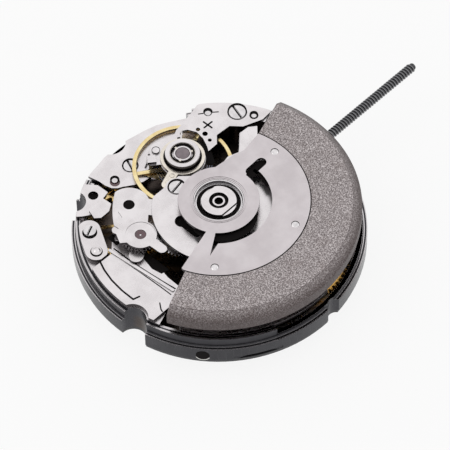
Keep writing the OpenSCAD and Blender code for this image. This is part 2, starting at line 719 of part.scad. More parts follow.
// Bridge over the barrel, open over the stem
module barrel_bridge() color(nickel) difference() {
  slab(barrel_bridge_z, barrel_bridge_top) difference() {
    intersection() {
      circle(r = rim_r - 0.55);
      union() {
        polygon([[14, -2.0], [6.2, -1.7], [4.6, -0.6], [1.3, -1.2], [-2, -1.6], [-6.3, -2.2],
          [-9.6, -4.8], [-12, -7], [-8, -14], [14, -14]]);
        translate(crown_c) circle(r = crown_r + 0.15);
      }
    }
    translate([6.3, -stem_slot_w / 2]) square([12, stem_slot_w]);
    difference() {
      translate(barrel_c) rotate(-70.5) wedge(30, -28, 28);
      translate(barrel_c) circle(r = 4.9);
    }
  }
  at(barrel_c) disc(0.62, 0, 5);
  at(reduction_c) disc(jewel_hole_r, 0, 5);
  at(click_c) disc(0.2, 0, 5);
  for (p = barrel_feet) at(p) screw_seat(barrel_bridge_top, 0.7, 1.0, 0.2, shank_r);
}
module ratchet_wheel() color(steel) at(barrel_c) slab(ratchet_z, ratchet_z + ratchet_t)
  difference() {
    teeth(ratchet_m, ratchet_n);
    square(ratchet_square + 0.001, center = true);
  }
module ratchet_screw() color(steel) at(barrel_c)
  screw(ratchet_z + ratchet_t + 0.2, 1.1, ratchet_z + ratchet_t - drum_top - 0.1, 0.2, shank_r);
click_c = [9.1, -6.3];
module click() color(steel) difference() {
  slab(ratchet_z, ratchet_z + ratchet_t) {
    translate(click_c) circle(r = 0.5);
    bar(click_c, barrel_c + pol(ratchet_m * ratchet_n / 2 + 0.32, heading(barrel_c, click_c) - 4), 0.34);
    bar(click_c, click_c + [0.9, 2.1], 0.16);
  }
  at(click_c) disc(0.2 + run_c, 0, 5);
}
crown_z = ratchet_z;
module crown_wheel() color(steel) at(crown_c) difference() {
  slab(crown_z, crown_z + ratchet_t) teeth(2 * crown_r / (crown_n + 1.7), crown_n);
  disc(0.6, 0, 5);
}

// Lengthways profile of the stem, from its inner pilot to the threaded end
module along_stem(x) translate([x, 0, stem_z]) rotate([0, 90, 0]) children();
stem_bearing_r = 0.62;
stem_bearing_end = casing_r + 0.1;
thread_x0 = stem_bearing_end + 0.1;
module winding_stem() color(steel) {
  difference() {
    union() {
      along_stem(5.1) cylinder(r = 0.2, h = 1.5);
      along_stem(6.5) cylinder(r = 0.22, h = 0.6);
      translate([6.55, -square_w / 2, stem_z - square_w / 2])
        cube([pinion_x - 6.55 + 0.02, square_w, square_w]);
      along_stem(pinion_x) cylinder(r = 0.36, h = pinion_w + 0.1);
      along_stem(pinion_x + pinion_w + 0.1)
        cylinder(r = stem_bearing_r, h = stem_bearing_end - pinion_x - pinion_w - 0.1);
      thread_profile();
    }
    along_stem(stem_groove_x - 0.15) difference() {
      cylinder(r = 1, h = 0.3);
      translate([0, 0, -1]) cylinder(r = 0.25, h = 3);
    }
  }
}
thread_pitch = 0.3;
thread_depth = 0.02;
thread_groove = 0.3;
thread_turns = floor((stem_reach - thread_x0) / thread_pitch);
// Threaded end, with its turns as grooves between flat crests
module thread_profile() along_stem(stem_bearing_end) rotate_extrude() polygon(concat(
  [[0, 0], [stem_r, 0]],
  [for (i = [0:thread_turns - 1]) for (e = [[0, 0], [1, 0], [1, thread_groove],
    [0, thread_groove]])
    [stem_r - e.x * thread_depth, thread_x0 - stem_bearing_end + (i + e.y) * thread_pitch]],
  [[stem_r, stem_reach - stem_bearing_end], [0, stem_reach - stem_bearing_end]]));
module winding_pinion() color(steel) difference() {
  along_stem(pinion_x) linear_extrude(pinion_w) teeth(0.12, 12, 0);
  along_stem(0) cylinder(r = 0.36 + run_c, h = 20);
}
module clutch_wheel() color(steel) difference() {
  union() {
    along_stem(clutch_x) linear_extrude(0.35) teeth(0.12, 12, 0);
    along_stem(clutch_x) cylinder(r = 0.55, h = clutch_w);
    along_stem(clutch_x + clutch_w - 0.35) linear_extrude(0.35) teeth(0.12, 12, 0);
  }
  translate([0, -square_w / 2 - run_c, stem_z - square_w / 2 - run_c])
    cube([20, square_w + 2 * run_c, square_w + 2 * run_c]);
}
lever_c = [10.3, 2.6];
lever_z = 0.5;
module setting_lever() color(steel) {
  slab(lever_z, lever_z + 0.2) difference() {
    union() {
      translate(lever_c) circle(r = 0.6);
      bar(lever_c, [stem_groove_x, 0], 0.5);
      bar(lever_c, [8.0, 3.2], 0.45);
    }
    translate(lever_c) circle(r = 0.2);
  }
  at([stem_groove_x, 0]) disc(0.1, lever_z + 0.2, stem_z - 0.3);
}
yoke_c = [7.2, -2.8];
yoke_pin = [clutch_x + clutch_w / 2, 0];
module yoke() color(steel) {
  slab(lever_z, lever_z + 0.2) difference() {
    union() {
      translate(yoke_c) circle(r = 0.5);
      bar(yoke_c, yoke_pin, 0.42);
    }
    translate(yoke_c) circle(r = 0.2);
  }
  at(yoke_pin) disc(0.1, lever_z + 0.2, stem_z - 0.6);
}
setting_a = mesh(heading(minute_c, setting_c), 0, minute_n, setting_n);
module setting_wheel() color(steel) at(setting_c) difference() {
  slab(0.79, 0.91) intersection() {
    teeth(2 * (norm(setting_c - minute_c) - cannon_m * minute_n / 2) / setting_n, setting_n, setting_a);
    circle(r = 1.6 + past);
  }
  disc(0.25, 0, 2);
}
// Spring cover that holds the setting pieces down, with a finger on the lever
module setting_jumper() color(steel) slab(0.39, 0.48) difference() {
  union() {
    bar([5.3, 0], yoke_c, 1.0);
    bar([5.3, 0], lever_c, 1.0);
    bar(lever_c, [8.0, 3.2], 0.5);
    translate(lever_c) circle(r = 0.7);
  }
  translate([5.3, 0]) circle(r = 0.2);
}

// Upper train bridge: arms from the central post to its feet
module train_bridge() color(nickel) difference() {
  union() {
    slab(train_z, train_z + train_t) {
      circle(r = 1.6);
      bar(origin, third_c, 1.6);
      bar(third_c, reverser_c, 1.5);
      intersection() {
        circle(r = skirt_r - 0.15);
        bar(reverser_c, rev_foot, 1.2);
      }
      bar(third_c, rev_lug, 1.4);
      bar(third_c, disc_screw, 1.5);
      bar(origin, intermediate_c, 1.6);
      bar(intermediate_c, train_left, 1.5);
      bar(reverser_c, train_pad, 1.3);
      bar(train_right, origin, 1.5);
      bar(disc_foot, origin, 1.4);
      intersection() {
        circle(r = skirt_r - 0.15);
        polygon([[4.0, 2.6], [3.8, 3.6], [5.0, 3.85], [6.0, 3.5], [7.7, 4.95], [8.2, 4.6],
          [7.6, 3.4], [5.4, 2.6]]);
      }
    }
    disc(1.05, train_z, race_z);
    disc(bearing_bore_r, race_z, post_top);
    disc(tip_tube_r, race_z, rotor_z - 0.08);
    at(train_left) disc(post_r, barrel_bridge_top, train_z);
    at(train_pad) disc(0.4, side_z + side_t, train_z);
    at(disc_screw) disc(0.35, train_z, disc_z);
    at(disc_foot) disc(0.5, train_z, disc_z);
    at(train_right) disc(0.5, train_z, disc_z - small_head_t);
  }
  disc(0.39, train_z + 0.3, rotor_z + 1);
  at(third_c) disc(jewel_r, train_z - 1, train_z + 0.15);
  disc(centre_jewel_r, train_z - 1, train_z + 0.15);
  disc(arbor_r + run_c, 0, train_z + 0.4);
  at(third_c) disc(jewel_hole_r, 0, 6);
  for (p = [intermediate_c, reverser_c]) at(p) disc(jewel_hole_r, 0, auto_z);
  at(disc_screw) disc(0.2, train_z + 0.2, 6);
  at(train_right) disc(shank_r, 0, 6);
}
bearing_bore_r = 0.8;
post_top = 5.78;
module reverser_bridge() color(nickel) difference() {
  union() {
    slab(reverser_bridge_z, disc_z) intersection() {
      circle(r = skirt_r - 0.3);
      difference() {
        union() {
          translate(fourth_c) circle(r = 1.85);
          bar(fourth_c, fourth_c + [-1.4, 0.7], 1.9);
          polygon([fourth_c + [-1.6, 1.4], fourth_c + [1.5, -1.0], reverser_c + [1.3, 0.4],
            reverser_c + [-1.4, 0.2], [-9.6, 4.4], [-8.6, 5.6]]);
          translate(reverser_c) circle(r = 1.45);
          bar(fourth_c, rev_lug, 1.7);
          bar([-6.55, 2.2], [-6.45, 0.55], 0.9);
        }
        translate(intermediate_c) circle(r = 0.3);
      }
    }
    for (p = [rev_foot, rev_lug]) at(p) disc(0.42, train_z + train_t, disc_z);
  }
  at(fourth_c) disc(jewel_r + 0.1, 0, 6);
  at(reverser_c) disc(jewel_r + 0.1, 0, 6);
}
// Fixed disc under the rotor, with its keyhole window
module automatic_bridge() color(nickel) difference() {
  slab(disc_z, disc_z + disc_t) difference() {
    intersection() {
      circle(r = disc_r);
      union() {
        polygon([[-7, -7], [7, -7], [7, 2.6], [5.4, 3.0], [1.4, 3.4], [-0.1, 4.9], [-7, 4.9]]);
        translate(disc_screw) circle(r = 1.0);
      }
    }
    circle(r = 2.2);
    translate([-3.34, 1.23]) circle(r = 0.6);
    bar([-3.37, 1.0], [-3.37, -0.64], 0.75);
  }
  for (p = [intermediate_c, reduction_c]) at(p) disc(jewel_hole_r, 0, disc_z + 0.2);
  at(disc_screw) screw_seat(disc_z + disc_t, head_r, 0.8, 0.2, 0.2);
}
intermediate_a = mesh(174, 0, rotor_gear_n, intermediate_n);
reverser_a = mesh(137.6, intermediate_a, intermediate_n, reverser_n);
reduction_a = mesh(heading(intermediate_c, reduction_c), intermediate_a, intermediate_n, reduction_n);
ratchet_mesh_a = mesh(heading(barrel_c, reduction_c), 0, ratchet_n, reduction_pinion_n);
module auto_wheel(n, a) {
  translate([0, 0, auto_z]) linear_extrude(auto_t) difference() {
    teeth(auto_m, n, a);
    for (i = [0:4]) rotate(i * 72) translate([auto_m * n * 0.29, 0]) circle(r = auto_m * n * 0.1);
  }
}
module intermediate_wheel() color(steel) at(intermediate_c) {
  auto_wheel(intermediate_n, intermediate_a);
  disc(0.25, train_z + train_t + 0.02, disc_z - 0.02);
  disc(pivot_r, train_z + 0.03, disc_z + 0.15);
}
module reverser_wheel() color(steel) at(reverser_c) {
  auto_wheel(reverser_n, reverser_a);
  disc(0.25, train_z + train_t + 0.02, reverser_bridge_z - 0.02);
  disc(pivot_r, train_z + 0.03, reverser_bridge_z + 0.15);
}
module reduction_wheel() color(steel) at(reduction_c) {
  auto_wheel(reduction_n, reduction_a);
  slab(ratchet_z, ratchet_z + ratchet_t) teeth(ratchet_m, reduction_pinion_n, ratchet_mesh_a);
  disc(0.25, ratchet_z, disc_z - 0.02);
  disc(pivot_r, barrel_bridge_z + 0.05, disc_z + 0.15);
}

bevel_z = 0.75;
// Heavy rim of the rotor: flat top, bevelled outer edge and a deep skirt
module rotor_weight() color("#8d8580") difference() {
  intersection() {
    rotate_extrude($fn = 96) polygon([[weight_inner_r, plate_z], [weight_inner_r, rotor_z],
      [weight_flat_r, rotor_z], [rotor_r, rotor_z - bevel_z], [rotor_r, skirt_z + 0.35],
      [rotor_r - 0.25, skirt_z], [skirt_r, skirt_z], [skirt_r, plate_z - 0.3],
      [weight_inner_r, plate_z - 0.3]]);
    slab(0, 10) wedge2(40, weight_a0, weight_a1);
  }
}
module wedge2(r, a0, a1) polygon(concat([[0, 0]], [for (i = [0:8]) pol(r, a0 + (a1 - a0) * i / 8)]));
plate_out = weight_inner_r - 0.01;
window_in = 3.57;
window_out = 4.65;
window_a0 = -140;
window_a1 = 3;
// Half-disc of the rotor with its curved window, hub ring and two arms
module rotor_plate() color(nickel) slab(plate_z, rotor_z) difference() {
  union() {
    difference() {
      circle(r = plate_out, $fn = 96);
      polygon([pol(plate_out, weight_a0 - 0.1), [-7.38, -2.8], [-3.7, -1.75], [-1, -1], [0, 0],
        [2.3, 2.72], [4.4, 2.5], [5.4, 2.2], pol(plate_out, weight_a1 + 0.1), [12, 9], [0, 14],
        [-14, 8], [-14, -6]]);
    }
    circle(r = window_in);
  }
  circle(r = 2.22);
  intersection() {
    difference() {
      circle(r = window_out);
      circle(r = window_in);
    }
    wedge2(40, window_a0, window_a1);
  }
  bar([4.15, 0.15], [5.5, 0.2], 0.9);
  polygon([pol(window_in + 0.2, window_a0), pol(window_out, window_a0 + 4), [-4.7, -3.62]]);
  for (a = rivet_angles) translate(pol(rivet_at, a)) circle(r = rivet_r);
}
rivet_angles = [1.3, -67.3, -138];
rivet_at = 7.15;
module rotor_rivets() color(steel) for (a = rivet_angles) at(pol(rivet_at, a)) {
  disc(rivet_r, plate_z, rotor_z);
  disc(rivet_r + 0.15, plate_z - 0.12, plate_z);
}
module rotor_gear() color(steel) difference() {
  union() {
    slab(auto_z, auto_z + auto_t) teeth(auto_m, rotor_gear_n);
    disc(1.4, auto_z, gear_flange_z);
    disc(2.1, gear_flange_z, race_z - 0.02);
  }
  disc(1.05 + 0.08, 0, 8);
}
ball_at = 1.62;
ball_r = 0.17;
module bearing_outer_race() color(steel) difference() {
  union() {
    disc(2.2, race_z - 0.02, race_top);
    disc(2.22, race_top, rotor_z - 0.02);
    disc(2.5, race_top, plate_z);
  }
  disc(1.86, 0, 8);
  disc(2.1, race_top, 8);
  translate([0, 0, (race_z + race_top) / 2]) rotate_extrude()
    translate([ball_at, 0]) circle(r = ball_r + 0.1);
}
module bearing_balls() color(steel) translate([0, 0, (race_z + race_top) / 2]) difference() {
  union() {
    for (i = [0:8]) rotate(i * 40) translate([ball_at, 0, 0]) sphere(r = ball_r);
    difference() {
      disc(ball_at + 0.1, -0.06, 0.06);
      disc(ball_at - 0.1, -1, 1);
    }
  }
}
module bearing_inner_race() color(steel) difference() {
  disc(1.4, race_z, race_top);
  disc(bearing_bore_r, 0, 8);
  translate([0, 0, (race_z + race_top) / 2]) rotate_extrude()
    translate([ball_at, 0]) circle(r = ball_r + 0.08);
}
nut_flat = 0.28;
module bearing_nut() color(nickel) difference() {
  disc(nut_r, race_top, rotor_z - 0.06);
  disc(bearing_bore_r, 0, 8);
  for (s = [-1, 1]) translate([-3, s * (nut_r - nut_flat) - (s < 0 ? 2 : 0), race_top + 0.12])
    cube([6, 2, 2]);
}

module jewel(r, z0, z1, hole = jewel_hole_r) tube(r, hole, z0, z1);
module jewels() color(ruby) {
  for (p = [third_c, fourth_c, escape_c, pallet_c, balance_c]) at(p) jewel(jewel_r, web_z0 + 0.05, web_z1);
  at(third_c) jewel(jewel_r, train_z, train_z + 0.15);
  jewel(centre_jewel_r, train_z, train_z + 0.15, arbor_r + run_c);
  at(fourth_c) jewel(jewel_r + 0.1, reverser_bridge_z, disc_z - 0.1);
  at(reverser_c) jewel(jewel_r + 0.1, reverser_bridge_z, disc_z - 0.1);
  at(escape_c) jewel(jewel_r + 0.05, escape_bridge_z, escape_bridge_top - 0.06);
}
// Every fixed screw, with its slot turned as it was left
module screws() color(steel) {
  at(escape_screw) rotate(70) screw(escape_bridge_top, 0.7, 0.5, 0.16, 0.2);
  at(cock_screw) rotate(75) screw(cock_top, 0.85, 1.0, 0.16, shank_r);
  at(disc_screw) rotate(10) screw(disc_z + disc_t, head_r, 0.8, 0.2, 0.2);
  at(clamp_screw) rotate(25) screw(clamp_top + 0.16, 0.65, 1.2, 0.16, shank_r);
  for (p = barrel_feet) at(p) rotate(p.x * 40) screw(barrel_bridge_top, 0.7, 1.0, 0.2, shank_r);
  at(train_right) screw(disc_z, small_head_r, 0.9, small_head_t, shank_r);
  for (p = calendar_posts) at(p) disc(0.25, 0.04, 0.7);
  at(centre_foot) disc(0.2, web_z1 - 0.1, cock_low_z + 0.14);
  at(pallet_foot) disc(0.2, web_z1 - 0.1, pallet_bridge_z + 0.14);
  at(click_c) {
    disc(0.2, barrel_bridge_z, ratchet_z + ratchet_t + 0.02);
    disc(0.4, ratchet_z + ratchet_t + 0.02, ratchet_z + ratchet_t + 0.14);
  }
  at(crown_c) {
    disc(0.56, barrel_bridge_top, crown_z + ratchet_t + 0.02);
    disc(0.95, crown_z + ratchet_t + 0.02, crown_z + ratchet_t + 0.16);
  }
  for (a = [dial_foot_a, dial_foot_a + 180]) rotate(a)
    translate([dial_foot_at + foot_r + 0.02, 0, side_hole_z]) rotate([0, 90, 0]) side_screw();
}
module side_screw() difference() {
  cylinder(r = side_hole_r, h = 0.25);
  translate([-1, -slot_w / 2, 0.15]) cube([2, slot_w, 1]);
}
clamp_z = side_z;
clamp_top = side_z + side_t + clamp_t;
side_top = side_z + side_t;
// Plates on the left: the spring plate, its long strip spring, the clamp and the corner plate
module side_plates() color(nickel) {
  difference() {
    slab(side_z, side_top) difference() {
      intersection() {
        circle(r = rim_r - 0.3);
        polygon([[-casing_r, 4.0], [-9.4, 3.9], [-8.3, 4.9], [-7.3, 3.6], [-7.3, 0.8], [-7.7, -1.4],
          [-7.7, -3.7], [-casing_r, -3.7]]);
      }
      translate(pol(notches[0][1], notches[0][0])) circle(r = notches[0][2] + 0.15);
      translate(fourth_c) circle(r = 0.5);
    }
  }
  slab(side_top, side_top + 0.12) bar([-9.25, 4.2], [-8.4, -2.7], 0.3);
  difference() {
    slab(clamp_z, clamp_top) intersection() {
      circle(r = rim_r - 0.3);
      bar(clamp_screw + [0.1, 0.2], clamp_pin, 2.0);
      translate([-14, 4.05]) square([8, 8]);
    }
    at(clamp_screw) disc(shank_r, 0, 9);
  }
  at(clamp_pin) intersection() {
    translate([0, 0, clamp_top - 0.35]) sphere(r = 0.5);
    disc(1, clamp_top, 9);
  }
  difference() {
    union() {
      slab(2.98, 3.28) intersection() {
        circle(r = rim_r - 0.05);
        polygon([[-5.75, 11.6], [-5.55, 11.05], [-4.87, 10.22], [-4.79, 9.02], [-5.29, 8.9],
          [-6.62, 8.69], [-7.5, 8.3], [-8.2, 8.75], [-8.9, 9.4]]);
      }
      slab(3.28, 3.58) polygon([[-7.5, 8.62], [-5.7, 8.75], [-5.6, 7.75], [-6.3, 7.3],
        [-7.3, 7.3], [-7.75, 7.7]]);
      slab(escape_bridge_z, 2.98) intersection() {
        difference() {
          circle(r = rim_r - 0.42);
          circle(r = 11.86);
        }
        wedge(30, 117, 128);
      }
    }
    at(corner_hole) disc(0.45, 0, 9);
    at(pol(notches[2][1], notches[2][0])) disc(notches[2][2], 0, 9);
  }
}

main_plate();
dial_spacer_ring();
calendar_plate();
date_ring();
date_driving_wheel();
date_jumper();
hour_wheel();
minute_wheel();
cannon_pinion();
centre_wheel();
centre_bridge();
third_wheel();
fourth_wheel();
centre_seconds_pinion();
escape_wheel();
pallet_fork();
pallet_bridge();
escape_bridge();
balance_wheel();
balance_staff();
hairspring();
stud_holder();
regulator_arm();
balance_cock();
shock_setting();
shock_spring();
cap_jewel();
barrel_drum();
barrel_cover();
mainspring();
barrel_arbor();
barrel_bridge();
ratchet_wheel();
ratchet_screw();
click();
crown_wheel();
winding_stem();
winding_pinion();
clutch_wheel();
setting_lever();
yoke();
setting_wheel();
setting_jumper();
train_bridge();
reverser_bridge();
automatic_bridge();
intermediate_wheel();
reverser_wheel();
reduction_wheel();
rotor_weight();
rotor_plate();
rotor_rivets();
rotor_gear();
bearing_outer_race();
bearing_balls();
bearing_inner_race();
bearing_nut();
jewels();
screws();
side_plates();
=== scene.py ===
import json
import math

import bpy
from bpy.props import FloatProperty, FloatVectorProperty, IntProperty, PointerProperty
from mathutils import Matrix, Quaternion, Vector


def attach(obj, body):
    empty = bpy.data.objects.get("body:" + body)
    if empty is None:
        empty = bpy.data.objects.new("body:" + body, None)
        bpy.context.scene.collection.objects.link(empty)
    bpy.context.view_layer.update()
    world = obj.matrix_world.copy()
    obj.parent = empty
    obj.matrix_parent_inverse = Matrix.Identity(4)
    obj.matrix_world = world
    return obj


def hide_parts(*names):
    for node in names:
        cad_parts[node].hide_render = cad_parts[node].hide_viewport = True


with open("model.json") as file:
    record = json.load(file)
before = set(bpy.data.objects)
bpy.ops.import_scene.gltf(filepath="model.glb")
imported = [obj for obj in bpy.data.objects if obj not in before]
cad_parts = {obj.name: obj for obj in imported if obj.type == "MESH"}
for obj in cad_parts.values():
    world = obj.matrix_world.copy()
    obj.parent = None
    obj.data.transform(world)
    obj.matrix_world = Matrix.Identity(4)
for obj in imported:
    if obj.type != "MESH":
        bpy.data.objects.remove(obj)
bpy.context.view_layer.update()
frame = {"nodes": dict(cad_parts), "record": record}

bl_info = {
    "name": "Automatic watch movement",
    "version": (1, 0, 0),
    "blender": (4, 5, 0),
    "location": "3D View > Sidebar > Movement",
    "description": "Dresses the packed frame of an automatic watch movement",
    "category": "Object",
}

# Pieces are modelled with one unit to the millimetre and brought down to metres when they are done
MM = 0.001


def polar(radius, degrees):
    return (radius * math.cos(math.radians(degrees)), radius * math.sin(math.radians(degrees)))


# Arbor places and levels of the frame, in millimetres
FOURTH = polar(7.88, 130.8)
THIRD = polar(3.94, 130.8)
ESCAPE = (FOURTH[0] + polar(4.002, 64.3)[0], FOURTH[1] + polar(4.002, 64.3)[1])
BALANCE = (1.87, 6.35)
INTERMEDIATE = polar(3.9, 174)
REVERSER = (INTERMEDIATE[0] + polar(3.8, 137.6)[0], INTERMEDIATE[1] + polar(3.8, 137.6)[1])
BARREL = polar(6.4512, -70.5)
STUD = (-0.29, 8.06)
REGULATOR_PINS = ((-0.29, 5.51), (-1.02, 5.25))
NOTCHES = ((189.6, 13.0, 1.25), (-85.6, 13.3, 0.8), (126, 12.95, 1.1))
RIVETS = tuple(polar(7.15, angle) for angle in (1.3, -67.3, -138))
# Slotted screws: place, top, head radius, head height and the slot's direction
SCREWS = (
    ("escape_bridge_screw", (-1.2, 9.9), 2.90, 0.61, 0.16, 70),
    ("cock_screw", (9.19, 6.81), 3.78, 0.76, 0.16, 75),
    ("disc_screw", (-1.05, 4.15), 5.00, 0.69, 0.20, 10),
    ("clamp_screw", (-9.07, 6.9), 3.86, 0.56, 0.16, 25),
    ("barrel_screw_a", (10.6, -4.2), 3.00, 0.61, 0.20, 424),
    ("barrel_screw_b", (-7.2, -8.6), 3.00, 0.61, 0.20, -288),
    ("barrel_screw_c", (-4.6, -6.2), 3.00, 0.61, 0.20, -184),
    ("train_screw", (4.8, 2.2), 4.70, 0.41, 0.14, 0),
)


# Painted shade rings for the dark gaps seen from above: place, top, inner and outer radius, and the shift of the outer
# edge
GAP_SHADES = (
    ((-1.2, 9.9), 2.903, 0.600, 0.70, 0.12),
    ((9.19, 6.81), 3.783, 0.750, 0.86, 0.14),
    ((-1.05, 4.15), 5.003, 0.680, 0.78, 0.13),
    ((-9.07, 6.9), 3.704, 0.560, 0.66, -0.12),
    ((10.6, -4.2), 3.003, 0.615, 0.74, 0.0),
    ((-7.2, -8.6), 3.003, 0.615, 0.74, 0.0),
    ((-4.6, -6.2), 3.003, 0.615, 0.74, 0.0),
    ((7.3, 8.62), 3.783, 0.28, 0.42, 0.14),
    ((9.95, 5.47), 3.783, 0.24, 0.38, 0.13),
    ((-10.1, 5.0), 3.704, 0.46, 0.55, -0.10),
    ((-3.3, 9.72), 2.905, 0.265, 0.42, 0.12),
    ((1.87, 6.35), 4.646, 1.565, 1.71, 0.0),
    ((1.87, 6.35), 5.135, 0.93, 1.10, 0.0),
    ((0.7, 8.53), 4.604, 0.330, 0.37, 0.06),
)
# Direction away from the camera: painted shade rings shift this way, or towards the camera where the shift is negative
FAR = (0.70, 0.714)
# Scribed marks on the cock, each with a dark floor of painted shade: start, end and width
COCK_MARKS = (
    ((5.90, 7.68), (6.83, 7.66), 0.17),
    ((6.31, 8.17), (6.36, 7.20), 0.17),
    ((7.65, 8.35), (8.02, 8.03), 0.12),
    ((6.95, 8.88), (6.62, 9.12), 0.12),
)
# Painted shade lines on the side plates: corners and width
SIDE_LINES = (
    (((-10.56, 4.21), (-11.01, 3.11), (-11.32, 1.87), (-11.46, 0.46), (-11.43, -0.90), (-10.85, -1.07)), 0.17),
    (((-8.84, 4.10), (-8.74, 1.80), (-8.56, 0.26), (-8.26, -1.96), (-8.12, -2.70)), 0.14),
    (((-9.25, 3.71), (-9.16, 2.40), (-9.02, 0.69), (-8.86, -1.79), (-8.82, -2.88)), 0.10),
    (((-10.11, -2.82), (-10.50, -3.35), (-10.58, -3.60)), 0.12),
)
# Painted shadow pads on the side plates, below the reverser bridge's tail and by the clamp
SIDE_SHADOWS = (
    ((-7.10, 2.60), (-7.40, 2.50), (-7.82, 1.38), (-8.05, 0.23), (-7.84, -0.75), (-7.10, -0.90)),
    ((-8.42, 5.33), (-8.46, 4.22), (-7.86, 4.04), (-7.26, 4.65), (-7.19, 5.37)),
)
SIDE_TOP = 3.6
# Pins, and dark plugs of painted shade, standing in holes: name, place, bottom, top, radius, slot and finish
PINS = (
    ("cock_pin_end", (7.3, 8.62), 3.60, 3.74, 0.295, "polished_steel", "polished_steel"),
    ("cock_guide_pin", (9.95, 5.47), 3.60, 3.74, 0.255, "polished_steel", "polished_steel"),
    ("escape_pin", (-3.3, 9.72), 2.86, 2.915, 0.27, "polished_steel", "polished_steel"),
    ("corner_shade", (-5.95, 9.7), 2.99, 3.02, 0.44, "dark_nickel", "shade"),
    ("seconds_bore_shade", (0, 0), 5.30, 5.34, 0.385, "dark_nickel", "shade"),
)


# Materials: a shader value that takes part in arithmetic, and one finish with its nodes
class Wire:
    """A socket of a finish; arithmetic on it adds Math nodes."""

    def __init__(self, finish, socket):
        self.finish = finish
        self.socket = socket

    def maths(self, operation, *values):
        inputs = dict(enumerate(values))
        return self.finish.node("ShaderNodeMath", {"operation": operation}, inputs)

    def __add__(self, other):
        return self.maths("ADD", self, other)

    def __radd__(self, other):
        return self.maths("ADD", other, self)

    def __sub__(self, other):
        return self.maths("SUBTRACT", self, other)

    def __rsub__(self, other):
        return self.maths("SUBTRACT", other, self)

    def __mul__(self, other):
        return self.maths("MULTIPLY", self, other)

    def __rmul__(self, other):
        return self.maths("MULTIPLY", other, self)

    def __truediv__(self, other):
        return self.maths("DIVIDE", self, other)

    def root(self):
        return self.maths("SQRT", self)

    def most(self, other):
        return self.maths("MAXIMUM", self, other)

    def least(self, other):
        return self.maths("MINIMUM", self, other)


class Finish:
    """One procedural material, with the helpers that add its nodes."""

    def __init__(self, name, **constants):
        self.material = bpy.data.materials.new(name)
        self.material.use_nodes = True
        self.tree = self.material.node_tree
        self.shader = self.tree.nodes["Principled BSDF"]
        for socket, value in constants.items():
            self.shader.inputs[socket.replace("_", " ")].default_value = value

    def feed(self, socket, value):
        if isinstance(value, Wire):
            self.tree.links.new(value.socket, socket)
        else:
            socket.default_value = value

    def node(self, kind, settings=None, inputs=None, output=0):
        made = self.tree.nodes.new(kind)
        for key, value in (settings or {}).items():
            if key == "stops":
                ramp = made.color_ramp
                while len(ramp.elements) < len(value):
                    ramp.elements.new(0.5)
                for element, (place, colour) in zip(ramp.elements, value):
                    element.position = place
                    element.color = (*colour, 1)
            else:
                setattr(made, key, value)
        for key, value in (inputs or {}).items():
            self.feed(made.inputs[key], value)
        return Wire(self, made.outputs[output])

    def place(self):
        return self.node("ShaderNodeTexCoord", output="Object")

    def facing(self):
        """Object-space normal, so a finish can tell tops from sides."""
        return self.node("ShaderNodeTexCoord", output="Normal")

    def along(self, vector, axis):
        return self.node("ShaderNodeSeparateXYZ", None, {0: vector}, axis)

    def stretched(self, scale, turn=0.0):
        """Object place with each axis scaled, for drawn-out grain."""
        return self.node("ShaderNodeMapping", None,
                         {"Vector": self.place(), "Scale": scale, "Rotation": (0, 0, math.radians(turn))})

    def noise(self, size, detail=2.0, rough=0.5, vector=None, distortion=0.0):
        """Noise whose blobs are about size millimetres across."""
        return self.node("ShaderNodeTexNoise", None,
                         {"Vector": vector or self.place(), "Scale": 1 / (size * MM), "Detail": detail,
                          "Roughness": rough, "Distortion": distortion})

    def cells(self, size, feature="F1", output="Distance"):
        return self.node("ShaderNodeTexVoronoi", {"feature": feature},
                         {"Vector": self.place(), "Scale": 1 / (size * MM)}, output)

    def step(self, value, low, high):
        """0 below low, 1 above high, smooth between."""
        return self.node("ShaderNodeMapRange", {"interpolation_type": "SMOOTHSTEP"},
                         {"Value": value, "From Min": low, "From Max": high})

    def spread(self, value, low, high):
        return self.node("ShaderNodeMapRange", None, {"Value": value, "To Min": low, "To Max": high})

    def ramp(self, value, *stops):
        return self.node("ShaderNodeValToRGB", {"stops": stops}, {"Fac": value})

    def blend(self, first, second, factor):
        first, second = [(*c, 1) if isinstance(c, tuple) else c for c in (first, second)]
        return self.node("ShaderNodeMix", {"data_type": "RGBA"}, {0: factor, 6: first, 7: second}, 2)

    def bump(self, height, depth, strength=1.0, under=None):
        """Height in 0..1 raised by depth millimetres."""
        inputs = {"Height": height, "Distance": depth * MM, "Strength": strength}
        if under:
            inputs["Normal"] = under
        return self.node("ShaderNodeBump", None, inputs)

    def surface(self, **values):
        for socket, value in values.items():
            self.feed(self.shader.inputs[socket.replace("_", " ")], value)
        return self.material


FINISHES = {}


def finish(name):
    """The finish of that name, made the first time that it is asked for."""
    if name not in FINISHES:
        FINISHES[name] = FINISH_MAKERS[name](name)
    return FINISHES[name]


def plated(name, colour, shade, rough, grain=0.02, turn=30, wall=(0.055, 0.050, 0.052)):
    """Plated plate: faint drawn grain, clouds of tone, fine pits, and painted shade that darkens the walls."""
    f = Finish(name, Metallic=1.0)
    height = f.along(f.facing(), 2)
    flat = f.step((height * height).root(), 0.35, 0.62)
    clouds = f.noise(1.6, 3, 0.6)
    streaks = f.noise(grain, 2, 0.6, f.stretched((1, 0.06, 1), turn))
    specks = f.noise(0.045, 2, 0.7)
    tone = f.step(clouds * 0.7 + streaks * 0.3, 0.36, 0.64)
    dust = f.step(specks, 0.66, 0.74) * 0.35
    base = f.blend(f.blend(shade, colour, tone), tuple(c * 0.5 for c in colour), dust)
    # Painted shade: faces that look neither up nor down take the dark wall colour
    base = f.blend(wall, base, flat)
    return f.surface(Base_Color=base, Roughness=f.spread(clouds, rough - 0.05, rough + 0.08),
                     Normal=f.bump(streaks * 0.7 + specks * 0.3, 0.0035, 0.35))


def make_nickel(name):
    return plated(name, (0.80, 0.765, 0.775), (0.70, 0.665, 0.675), 0.26)


